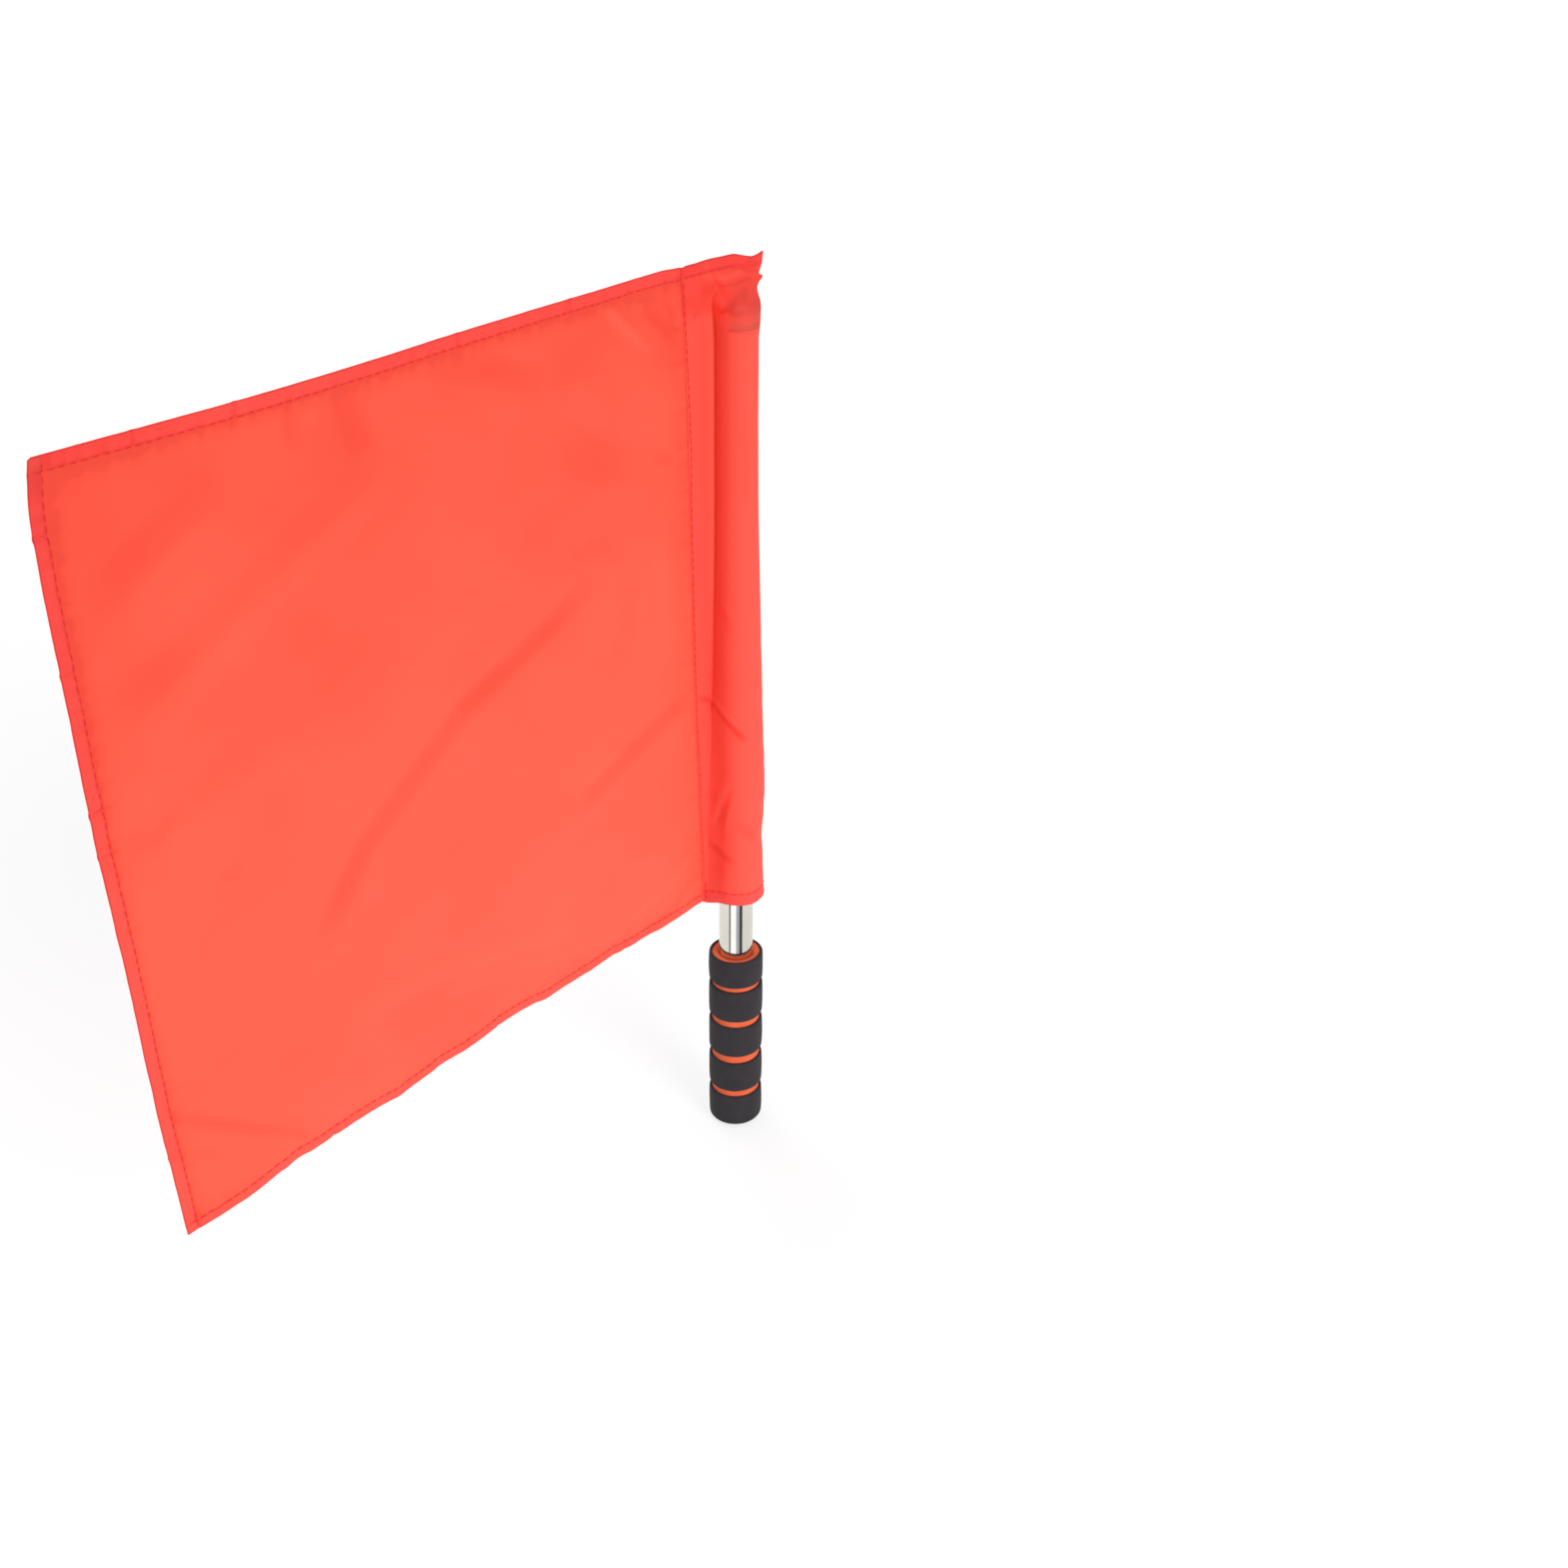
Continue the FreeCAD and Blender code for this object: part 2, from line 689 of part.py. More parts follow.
def seam_strip(label, start, end, inset, width):
    """Strip of stitches down the seam, on the face of the sleeve."""
    levels = [start] + [level for level, path in stations if start < level < end] + [end]
    wires = []
    for level in levels:
        upper = [number for number, item in enumerate(stations) if item[0] >= level][0]
        first, second = stations[upper - 1], stations[upper]
        share = (level - first[0]) / (second[0] - first[0])
        crease, seam = between(first[1], second[1], share)[-1]
        rows = []
        for depth in (THREAD_FAR, THREAD_NEAR):
            row = []
            for x in (inset, inset + width):
                y = seam[1] + (crease[1] - seam[1]) * x / crease[0]
                row.append(FreeCAD.Vector(x, y - depth, level))
            rows.append(row)
        wires.append(ribbon(rows[0], rows[1]))
    return cloth_piece(label, wires, True)


tack_start = MOUTH_LEVEL + SEWN
tack_end = tack_start + size("tack_length")
tack_inset = size("seam_inset") - (size("tack_width") - THREAD) / 2
seam_bar_tack = seam_strip("seam_bar_tack", tack_start, tack_end, tack_inset, size("tack_width"))
hoist_seam_thread = seam_strip(
    "hoist_seam_thread", tack_end + SEWN, TOP_HEM_LEVEL - SEWN, size("seam_inset"), THREAD
)


# Check every object, then write one file for each piece

doc.recompute()
subparts = [
    pole_tube, tip_cap, tube_end_plug, grip_core, *grip_bands, grip_end_band,
    pole_sleeve, sleeve_mouth_hem, sleeve_top_hem,
    hoist_seam_thread, mouth_hem_thread, sleeve_top_thread, seam_bar_tack,
    flag_panel, top_hem, fly_hem, bottom_hem,
    top_hem_thread, fly_hem_thread, bottom_hem_thread,
]
for item in doc.Objects:
    if "Invalid" in item.State or "Error" in item.State:
        raise RuntimeError("%s did not build: %s" % (item.Label, item.State))
os.makedirs("parts", exist_ok=True)
for piece in subparts:
    shape = piece.Shape
    if shape.isNull() or not shape.isValid() or shape.Volume <= 0:
        raise RuntimeError("%s has no sound shape" % piece.Label)
    box = shape.BoundBox
    corners = (box.XMin, box.XMax, box.YMin, box.YMax, box.ZMin, box.ZMax)
    numbers = " ".join("%8.2f" % number for number in corners)
    print("%-20s solids %d volume %10.1f box %s" % (
        piece.Label, len(shape.Solids), shape.Volume, numbers))
    shape.exportStep("parts/%s.step" % piece.Label)
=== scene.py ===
# %% [markdown]
# A linesman flag: a square of thin red cloth on a polished steel tube, with a black foam
# grip that shows orange foam in four grooves. The solids come from the CAD frame. This
# lesson dresses them: the rigid parts get finishes, and the foam and the cloth get finer
# meshes of the same form.

# %% Load the frame
import json
import math

import bpy
import numpy as np
from mathutils import Matrix, Vector

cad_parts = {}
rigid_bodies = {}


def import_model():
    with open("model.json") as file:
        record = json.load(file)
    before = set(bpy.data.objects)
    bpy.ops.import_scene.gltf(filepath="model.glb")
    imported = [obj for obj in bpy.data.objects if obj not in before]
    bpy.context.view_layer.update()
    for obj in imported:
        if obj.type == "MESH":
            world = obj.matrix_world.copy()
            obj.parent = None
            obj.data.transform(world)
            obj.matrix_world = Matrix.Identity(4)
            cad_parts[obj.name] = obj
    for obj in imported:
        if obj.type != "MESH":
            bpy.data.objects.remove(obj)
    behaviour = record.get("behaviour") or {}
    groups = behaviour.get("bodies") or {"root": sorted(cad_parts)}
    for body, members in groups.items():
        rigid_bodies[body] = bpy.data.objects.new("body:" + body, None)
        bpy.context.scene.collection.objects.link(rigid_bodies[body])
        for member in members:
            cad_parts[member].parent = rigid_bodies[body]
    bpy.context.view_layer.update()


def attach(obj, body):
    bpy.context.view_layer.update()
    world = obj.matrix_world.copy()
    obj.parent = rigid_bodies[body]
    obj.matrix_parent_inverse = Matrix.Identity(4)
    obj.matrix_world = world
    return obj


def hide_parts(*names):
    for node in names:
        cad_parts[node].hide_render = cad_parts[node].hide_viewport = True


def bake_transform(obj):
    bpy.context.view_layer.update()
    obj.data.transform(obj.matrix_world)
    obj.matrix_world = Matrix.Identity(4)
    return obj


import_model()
MM = 0.001

# %% [markdown]
# The camera stands to the left of the flag and above it, so the upright pole narrows
# downwards and the square looks like a diamond. A camera is turned by a matrix whose
# columns point to its right, its top and its back, which keeps a small roll exact.

# %% Camera
CAMERA_RIGHT = (0.6201885, -0.7843083, 0.0150559)
CAMERA_UP = (0.3570147, 0.2992939, 0.8848524)
CAMERA_BACK = (-0.6985032, -0.5434001, 0.4656282)
CAMERA_PLACE = (-0.6764708, -0.5588602, 0.6820178)
LENS = 42.062


def placed(name, data):
    """New object in the scene for a mesh, a light or a camera."""
    made = bpy.data.objects.new(name, data)
    bpy.context.scene.collection.objects.link(made)
    return made


camera_data = bpy.data.cameras.new("flag_camera")
camera_data.sensor_width = 36
camera_data.lens = LENS
camera_data.clip_start = 0.01
camera_data.clip_end = 100
camera = placed("flag_camera", camera_data)
camera_rows = zip(CAMERA_RIGHT, CAMERA_UP, CAMERA_BACK, CAMERA_PLACE)
camera.matrix_world = Matrix([*camera_rows, (0, 0, 0, 1)])
bpy.context.scene.camera = camera
bpy.context.scene.view_settings.view_transform = "Standard"
print("camera at", CAMERA_PLACE, "with a lens of", LENS, "mm")

# %% [markdown]
# The set is a plain pale floor under a white surround. Broad soft lights shine from the
# front, the left, the top and the back, and a small lamp near the floor lifts the lower
# cloth. The side of each fold that turns from them goes a shade deeper. The cloth's colour
# also carries painted shade and painted light in its creases, seams, hems and sleeve.

# %% Helpers for nodes
WHITE, BLACK = (1, 1, 1, 1), (0, 0, 0, 1)


def new_material(name, **values):
    """New material, its tree and its shader, with values set on the shader's sockets."""
    material = bpy.data.materials.new(name)
    material.use_nodes = True
    shader = material.node_tree.nodes["Principled BSDF"]
    for key, value in values.items():
        shader.inputs[key.replace("_", " ")].default_value = value
    return material, material.node_tree, shader


def add(tree, kind, place=(0, 0), inputs=(), **settings):
    """New node of a kind, with its settings and the values of its inputs."""
    node = tree.nodes.new(kind)
    node.location = place
    for key, value in settings.items():
        setattr(node, key, value)
    for key, value in dict(inputs).items():
        node.inputs[key].default_value = value
    return node


def wire(tree, *wires):
    """Link nodes. Each wire is a node, its output, the next node and its input."""
    for source, output, target, entry in wires:
        tree.links.new(source.outputs[output], target.inputs[entry])


def colour(red, green, blue):
    """Screen colour from 0 to 255 as the linear colour that a shader takes."""
    linear = []
    for value in (red, green, blue):
        share = value / 255
        linear.append(share / 12.92 if share <= 0.04045 else ((share + 0.055) / 1.055) ** 2.4)
    return (*linear, 1)


# %% Floor and surround
FLOOR_REACH, FLOOR_LEVEL = 30, -0.0015
floor_corners = [(x * FLOOR_REACH, y * FLOOR_REACH, 0)
                 for x, y in ((-1, -1), (1, -1), (1, 1), (-1, 1))]
floor_mesh = bpy.data.meshes.new("studio_floor")
floor_mesh.from_pydata(floor_corners, [], [(0, 1, 2, 3)])
floor = placed("studio_floor", floor_mesh)
floor.location.z = FLOOR_LEVEL
floor_white, tree, shader = new_material(
    "studio_floor_white", Base_Color=(0.95, 0.95, 0.95, 1), Roughness=1, Specular_IOR_Level=0)
paper = add(tree, "ShaderNodeBsdfDiffuse", (0, -300), {"Color": (0.30, 0.30, 0.30, 1)})
glow = add(tree, "ShaderNodeEmission", (0, -450), {"Strength": 0.755})
both = add(tree, "ShaderNodeAddShader", (200, -350))
path = add(tree, "ShaderNodeLightPath", (0, 300))
chooser = add(tree, "ShaderNodeMixShader", (400, 0))
wire(tree, (paper, "BSDF", both, 0), (glow, "Emission", both, 1),
     (path, "Is Camera Ray", chooser, "Fac"), (shader, "BSDF", chooser, 1),
     (both, "Shader", chooser, 2), (chooser, "Shader", tree.nodes["Material Output"], "Surface"))
floor_mesh.materials.append(floor_white)

world = bpy.data.worlds.new("studio_surround")
world.use_nodes = True
bpy.context.scene.world = world
tree = world.node_tree
tree.nodes.clear()
output = add(tree, "ShaderNodeOutputWorld", (600, 0))
chooser = add(tree, "ShaderNodeMixShader", (400, 0))
seen = add(tree, "ShaderNodeBackground", (200, -120), {"Color": WHITE, "Strength": 1})
fill = add(tree, "ShaderNodeBackground", (200, 60), {"Color": WHITE, "Strength": 0.36})
path = add(tree, "ShaderNodeLightPath", (0, 200))
wire(tree, (path, "Is Camera Ray", chooser, "Fac"), (fill, "Background", chooser, 1),
     (seen, "Background", chooser, 2), (chooser, "Shader", output, "Surface"))
print("floor and surround are up")

# %% Soft lights
FLAG_MIDDLE = Vector((-0.17, 0.0, 0.32))
SUN_AWAY = 3
SUNS = (("front_light", (-0.22, -0.85, 0.45), 1.54, 24),
        ("side_light", (-0.95, -0.12, 0.25), 0.16, 30),
        ("top_light", (0.1, 0.1, 1.0), 0.55, 60),
        ("back_light", (0.30, 0.85, 0.40), 0.85, 40))


def soft_light(name, kind, place, power, **settings):
    """Light at a place, turned to the middle of the flag."""
    data = bpy.data.lights.new(name, kind)
    data.energy = power
    for key, value in settings.items():
        setattr(data, key, value)
    light = placed(name, data)
    light.location = place
    light.rotation_mode = "QUATERNION"
    toward = (light.location - FLAG_MIDDLE).normalized()
    light.rotation_quaternion = toward.to_track_quat("Z", "Y")
    print(name, "at", [round(v, 2) for v in place])
    return light


for name, direction, strength, spread in SUNS:
    place = FLAG_MIDDLE + Vector(direction).normalized() * SUN_AWAY
    sun = soft_light(name, "SUN", place, strength, angle=math.radians(spread))
    sun.visible_glossy = name != "back_light"
low_lamp = soft_light("low_lamp", "AREA", (-0.12, -0.40, 0.04), 0.42, size=0.25)
low_lamp.visible_camera = False
low_lamp.visible_glossy = False

# %% [markdown]
# Polished steel shows what stands round it, and a white room alone would leave the tube
# flat grey. Photographers put narrow cards beside such a part. These cards are seen by
# mirror rays only: they draw the bright and dark stripes on the tube and cast no shadow.

# %% Cards for the steel
CARD_RADIUS, CARD_FOOT, CARD_HEAD, CARD_STEPS = 0.15, -0.001, 0.10, 12
VIEW_TURN = -140.4
CARDS = (("card_white", -36, 1, (1.35, 1.35, 1.35)),
         ("card_blue_grey", 1, 23, (0.50, 0.53, 0.58)),
         ("card_dark", 23, 43, (0.05, 0.052, 0.055)),
         ("card_edge", -46, -36, (0.10, 0.10, 0.11)),
         ("card_right", 43, 175, (0.94, 0.92, 0.87)),
         ("card_left", -175, -46, (0.98, 0.96, 0.91)))
for name, start, end, shade in CARDS:
    turns = np.radians(np.linspace(VIEW_TURN + start, VIEW_TURN + end, CARD_STEPS + 1))
    points = [(CARD_RADIUS * math.cos(turn), CARD_RADIUS * math.sin(turn), height)
              for turn in turns for height in (CARD_FOOT, CARD_HEAD)]
    faces = [(2 * step, 2 * step + 1, 2 * step + 3, 2 * step + 2) for step in range(CARD_STEPS)]
    mesh = bpy.data.meshes.new(name)
    mesh.from_pydata(points, [], faces)
    mesh.materials.append(new_material(
        name, Base_Color=BLACK, Roughness=1, Specular_IOR_Level=0,
        Emission_Color=(*shade, 1), Emission_Strength=1)[0])
    card = placed(name, mesh)
    for ray in ("camera", "diffuse", "shadow", "transmission"):
        setattr(card, "visible_" + ray, False)
    print(name, "from", start, "to", end, "degrees")

# %% [markdown]
# Three small surface effects serve several finishes: uneven wear, the plain weave of the
# cloth, and the open grain of foam. Each is one node group with named inputs, placed in
# every finish that needs it with values of its own.

# %% Group for uneven wear
def group(name, numbers):
    """New node group with a place and numbers as inputs, and its two end nodes."""
    made = bpy.data.node_groups.new(name, "ShaderNodeTree")
    made.interface.new_socket(name="Place", in_out="INPUT", socket_type="NodeSocketVector")
    for label, value in numbers.items():
        socket = made.interface.new_socket(
            name=label, in_out="INPUT", socket_type="NodeSocketFloat")
        socket.default_value = value
    made.interface.new_socket(name="Mask", in_out="OUTPUT", socket_type="NodeSocketFloat")
    print("group", name)
    return made, add(made, "NodeGroupInput", (-600, 0)), add(made, "NodeGroupOutput", (600, 0))


uneven, start, end = group("uneven_wear", {"Scale": 60.0, "Low": 0.35, "High": 0.65})
noise = add(uneven, "ShaderNodeTexNoise", (-300, 0), {"Detail": 5})
spread = add(uneven, "ShaderNodeMapRange", (100, 0))
wire(uneven, (start, "Place", noise, "Vector"), (start, "Scale", noise, "Scale"),
     (noise, "Fac", spread, "Value"), (start, "Low", spread, "From Min"),
     (start, "High", spread, "From Max"), (spread, "Result", end, "Mask"))

# %% Group for the plain weave
weave, start, end = group("plain_weave", {"Threads": 2600.0})
apart = add(weave, "ShaderNodeSeparateXYZ", (-400, 0))
crossed = add(weave, "ShaderNodeMath", (200, 0), operation="MULTIPLY")
lifted = add(weave, "ShaderNodeMath", (400, 0), {1: 0.5, 2: 0.5}, operation="MULTIPLY_ADD")
for number, label in enumerate(("X", "Y")):
    scaled = add(weave, "ShaderNodeMath", (-200, -200 * number), operation="MULTIPLY")
    wave = add(weave, "ShaderNodeMath", (0, -200 * number), operation="SINE")
    wire(weave, (apart, label, scaled, 0), (start, "Threads", scaled, 1),
         (scaled, "Value", wave, 0), (wave, "Value", crossed, number))
wire(weave, (start, "Place", apart, "Vector"), (crossed, "Value", lifted, 0),
     (lifted, "Value", end, "Mask"))

# %% Group for foam grain
grain, start, end = group("foam_grain", {"Scale": 1800.0})
cells = add(grain, "ShaderNodeTexVoronoi", (-300, 100))
cloudy = add(grain, "ShaderNodeTexNoise", (-300, -200), {"Detail": 3})
joined = add(grain, "ShaderNodeMath", (100, 0), operation="MULTIPLY")
for texture in (cells, cloudy):
    wire(grain, (start, "Place", texture, "Vector"), (start, "Scale", texture, "Scale"))
wire(grain, (cells, "Distance", joined, 0), (cloudy, "Fac", joined, 1),
     (joined, "Value", end, "Mask"))

# %% [markdown]
# The pole is a thin steel tube with a mirror polish, so it is a metal with very low
# roughness that polishing lines and finger marks raise a little in patches. The cap on the
# tip and the plug in the foot are moulded plastic with a dull skin. Only the grey cap is
# seen, and only as a shape behind the cloth.

# %% Finish helpers
def mixed(tree, place, first, second, blend="MIX"):
    """Node that goes from one colour to another by its factor."""
    return add(tree, "ShaderNodeMix", place, {"A": first, "B": second}, data_type="RGBA",
               blend_type=blend)


def bumped(tree, shader, relief, strength, depth):
    """Bump on a shader from the mask that a group puts out."""
    node = add(tree, "ShaderNodeBump", (-200, -300), {"Strength": strength, "Distance": depth})
    wire(tree, (relief, "Mask", node, "Height"), (node, "Normal", shader, "Normal"))


def clouded(name, first, second, roughness, clouds, skin=None, shade_cover=None, **values):
    """Finish that drifts in clouds between two colours and between two roughnesses.

    Clouds are the numbers of the uneven wear. Skin is a fine group with its numbers, and the
    strength and depth of its bump. Shade cover is a mesh attribute and the deeper colour that
    it lays on as painted shade.
    """
    made, tree, shader = new_material(name, **values)
    place = add(tree, "ShaderNodeTexCoord", (-1000, 0))
    wear = add(tree, "ShaderNodeGroup", (-700, 0), clouds, node_tree=uneven)
    rough = add(tree, "ShaderNodeMapRange", (-300, -100),
                {"To Min": roughness[0], "To Max": roughness[1]})
    tinted = top = mixed(tree, (-300, 200), first, second)
    if shade_cover:
        spots = add(tree, "ShaderNodeAttribute", (-700, 400), attribute_name=shade_cover[0])
        top = mixed(tree, (-100, 300), BLACK, shade_cover[1])
        wire(tree, (tinted, "Result", top, "A"), (spots, "Fac", top, "Factor"))
    wire(tree, (place, "Object", wear, "Place"), (wear, "Mask", tinted, "Factor"),
         (wear, "Mask", rough, "Value"), (rough, "Result", shader, "Roughness"),
         (top, "Result", shader, "Base Color"))
    if skin:
        fine_group, numbers, strength, depth = skin
        relief = add(tree, "ShaderNodeGroup", (-700, -300), numbers, node_tree=fine_group)
        wire(tree, (place, "Object", relief, "Place"))
        bumped(tree, shader, relief, strength, depth)
    print("finish", name)
    return made


# %% Steel and plastics
MOULDED = {"clouds": {"Scale": 90.0}, "skin": (grain, {"Scale": 4000.0}, 0.15, 0.0001)}
steel = clouded("polished_steel", colour(228, 225, 219), colour(218, 216, 212), (0.10, 0.16),
                {"Scale": 45.0, "Low": 0.4, "High": 0.7}, Metallic=1.0)
cap_plastic = clouded("cap_plastic", colour(92, 92, 96), colour(80, 80, 84), (0.45, 0.55),
                      **MOULDED)
plug_plastic = clouded("plug_plastic", colour(38, 38, 40), colour(30, 30, 32), (0.5, 0.6),
                       **MOULDED)
for label, finish in (("pole_tube", steel), ("tip_cap", cap_plastic),
                      ("tube_end_plug", plug_plastic)):
    mesh = bpy.data.objects[label].data
    mesh.materials.clear()
    mesh.materials.append(finish)
    for polygon in mesh.polygons:
        polygon.material_index = 0

# %% [markdown]
# The grip is two foams. The orange one is the tube that carries everything, cut open in
# four grooves, and the black one is a skin of five bands. Foam has no sharp edge, so each
# band is turned on a lathe again here with soft lips, a slight swell and tiny dents.

# %% Foam finishes
def foam(name, first, second, strength):
    """Closed-cell foam: dull, with fine pores, cloudy colour and a soft sheen."""
    return clouded(name, first, second, (0.78, 0.92), {"Scale": 150.0, "Low": 0.3, "High": 0.7},
                   (grain, {"Scale": 1500.0}, strength, 0.0003), Sheen_Weight=0.06,
                   Sheen_Roughness=0.5, Specular_IOR_Level=0.2)


black_foam = foam("black_foam", colour(45, 42, 46), colour(53, 50, 55), 0.5)
orange_foam = foam("orange_foam", colour(240, 108, 66), colour(230, 100, 60), 0.35)

# %% Lathe for the foam
def mesh_piece(name, points, faces, material):
    """Smooth mesh object in metres, with its material."""
    mesh = bpy.data.meshes.new(name)
    mesh.from_pydata([tuple(p) for p in points], [], faces)
    mesh.materials.append(material)
    mesh.polygons.foreach_set("use_smooth", [True] * len(mesh.polygons))
    mesh.update()
    piece = placed(name, mesh)
    print(name, len(points), "points")
    return piece


def lathed(node, outline, material, sides=160):
    """Turn a closed outline of (radius, height) in mm about the pole, in a node's place."""
    phases = np.random.default_rng(len(outline)).uniform(0, 2 * math.pi, 6)
    points, faces, starts = [], [], []
    for radius, height in outline:
        starts.append(len(points))
        if radius < 1e-6:
            points.append((0, 0, height * MM))
            continue
        for side in range(sides):
            turn = 2 * math.pi * side / sides
            wobble = 0.04 * math.sin(3 * turn + phases[0] + height * 0.21)
            wobble += 0.03 * math.sin(7 * turn + phases[1] - height * 0.33)
            wide = (radius + wobble) * MM
            points.append((wide * math.cos(turn), wide * math.sin(turn), height * MM))
    for ring in range(len(outline)):
        following = (ring + 1) % len(outline)
        first, second = starts[ring], starts[following]
        one, other = outline[ring][0] < 1e-6, outline[following][0] < 1e-6
        for side in range(0 if one and other else sides):
            after = (side + 1) % sides
            if one:
                faces.append((first, second + after, second + side))
            elif other:
                faces.append((first + side, first + after, second))
            else:
                faces.append((first + side, first + after, second + after, second + side))
    piece = mesh_piece("foam_" + node, points, faces, material)
    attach(piece, "handle")
    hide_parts(node)


def arc(centre, radius, start, end, steps=6):
    """Points of a rounded lip, from one direction to another in degrees."""
    turns = [math.radians(start + (end - start) * i / steps) for i in range(steps + 1)]
    return [(centre[0] + radius * math.cos(t), centre[1] + radius * math.sin(t)) for t in turns]


# %% Black bands
GRIP_RADIUS, CORE_RADIUS, GRIP_TOP, CORE_FOOT = 15.2, 13.6, 113.8, 5.6
LIP, FOOT_ROUND, SWELL = 1.0, 3.0, 0.22
GROOVES = ((20.7, 24.9), (44.4, 49.4), (69.4, 73.6), (93.6, 96.6))
band_ends = [0.0] + [height for groove in GROOVES for height in groove] + [GRIP_TOP]
band_names = ("grip_end_band", "grip_band_4", "grip_band_3", "grip_band_2", "grip_band_1")
for number, label in enumerate(band_names):
    low, high = band_ends[2 * number], band_ends[2 * number + 1]
    if number == 0:
        outer = [(0.0, 0.0), (6.0, 0.0), (GRIP_RADIUS - FOOT_ROUND, 0.0)]
        outer += arc((GRIP_RADIUS - FOOT_ROUND, FOOT_ROUND), FOOT_ROUND, -80, 0, 8)
        inner = [(CORE_RADIUS, high), (CORE_RADIUS, CORE_FOOT), (0.0, CORE_FOOT)]
    else:
        outer = [(CORE_RADIUS, low)] + arc((GRIP_RADIUS - LIP, low + LIP), LIP, -90, 0)
        inner = [(CORE_RADIUS, high)]
    swell_foot, swell_head = outer[-1][1], high - LIP
    for step in range(1, 12):
        share = step / 12
        outer.append((GRIP_RADIUS + SWELL * math.sin(math.pi * share) ** 0.7,
                      swell_foot + share * (swell_head - swell_foot)))
    outer += arc((GRIP_RADIUS - LIP, high - LIP), LIP, 0, 90)
    lathed(label, outer + inner, black_foam)

# %% Orange core
core_outline = [(9.5, CORE_FOOT), (CORE_RADIUS, CORE_FOOT)]
for low, high in GROOVES:
    core_outline += [(CORE_RADIUS, low - 0.4), (CORE_RADIUS, low + 0.2),
                     (CORE_RADIUS + 0.08, (low + high) / 2), (CORE_RADIUS, high - 0.2),
                     (CORE_RADIUS, high + 0.4)]
CORE_TOP = GRIP_TOP - 0.5
core_outline += arc((CORE_RADIUS - 0.5, CORE_TOP - 0.5), 0.5, 0, 90, 4)
core_outline += [(11.9, CORE_TOP - 0.02), (11.3, CORE_TOP - 0.10), (10.6, CORE_TOP - 0.3),
                 (9.9, CORE_TOP - 0.6), (9.52, CORE_TOP - 1.0)]
lathed("grip_core", core_outline, orange_foam)

# %% [markdown]
# The cloth hangs from a straight seam that leans a little from the pole. All its pieces are
# laid out in the cloth's own frame: how far from the seam, how far up, and how far in front
# of the flat plane. One function turns such a place into a point in the frame, so hems and
# stitches follow every fold of the cloth that they are sewn to.

# %% Frame of the cloth
WIDTH, HEIGHT, CLOTH = 341.0, 345.5, 0.3
SEAM_FOOT, SEAM_HEAD, CLOTH_FOOT = 16.8, 28.6, 154.0
PLANE = 10.0
LEAN = math.asin((SEAM_HEAD - SEAM_FOOT) / HEIGHT)


def to_frame(x, y, z):
    """Cloth millimetres to a point in metres: x towards the pole, z up along the seam."""
    east = -SEAM_FOOT + x * math.cos(LEAN) - z * math.sin(LEAN)
    up = CLOTH_FOOT + x * math.sin(LEAN) + z * math.cos(LEAN)
    return np.stack([east * MM, y * MM + 0 * x, up * MM], axis=-1)


def ease(share):
    """Smooth step from 0 to 1."""
    share = np.clip(share, 0, 1)
    return share * share * (3 - 2 * share)


def hump(share):
    """Smooth hump, 1 in the middle and 0 from a share of 1 outwards."""
    return np.clip(1 - share * share, 0, None) ** 2


def along_table(places, table, reach):
    """Values of a table of pairs at any places, with its corners rounded over a reach."""
    knots, values = zip(*table)
    total = 0.0
    for share in (-1.0, -0.6, -0.2, 0.2, 0.6, 1.0):
        total = total + np.interp(places + share * reach, knots, values)
    return total / 6


# %% [markdown]
# A crease is a path on the cloth with a width and a depth. Its depth fades at both ends. A
# soft fold is the same thing, only wider. The list below is what the cloth of a flag that
# has been rolled up and carried shows: two long diagonals, pulls under the top hem, and
# short puckers where the seam and the stitches gather the cloth.

# %% Creases of the panel
def path_distance(u, v, path):
    """Distance of places from a path, and the share along it of the nearest point."""
    nearest, along = np.full(np.shape(u), 1e9), np.zeros(np.shape(u))
    pairs = list(zip(path, path[1:]))
    done, total = 0.0, sum(math.dist(first, last) for first, last in pairs)
    for first, last in pairs:
        length = math.dist(first, last)
        du, dv = last[0] - first[0], last[1] - first[1]
        share = np.clip(((u - first[0]) * du + (v - first[1]) * dv) / length ** 2, 0, 1)
        away = np.hypot(u - first[0] - share * du, v - first[1] - share * dv)
        closer = away < nearest
        nearest = np.where(closer, away, nearest)
        along = np.where(closer, (done + share * length) / total, along)
        done += length
    return nearest, along


def crease(u, v, path, half, depth):
    """Lift of one crease: a narrow line with soft shoulders, fading at its ends."""
    away, along = path_distance(u, v, path)
    fade = np.clip(1 - (2 * along - 1) ** 4, 0, 1)
    shape = 0.75 * hump(away / half) + 0.25 * hump(away / (0.45 * half))
    return depth * fade * shape


def crease_shade(u, v, path, half, depth):
    """Painted shade of one crease: an even band with soft sides, a short wide one softest at
    its ends. A raised crease gives painted light instead.
    """
    away, along = path_distance(u, v, path)
    power = 6 if math.dist(path[0], path[-1]) > 7 * half else 2
    fade = np.clip(1 - (2 * along - 1) ** power, 0, 1)
    return depth * fade * (1 - ease((away / half - 0.18) / 0.55))
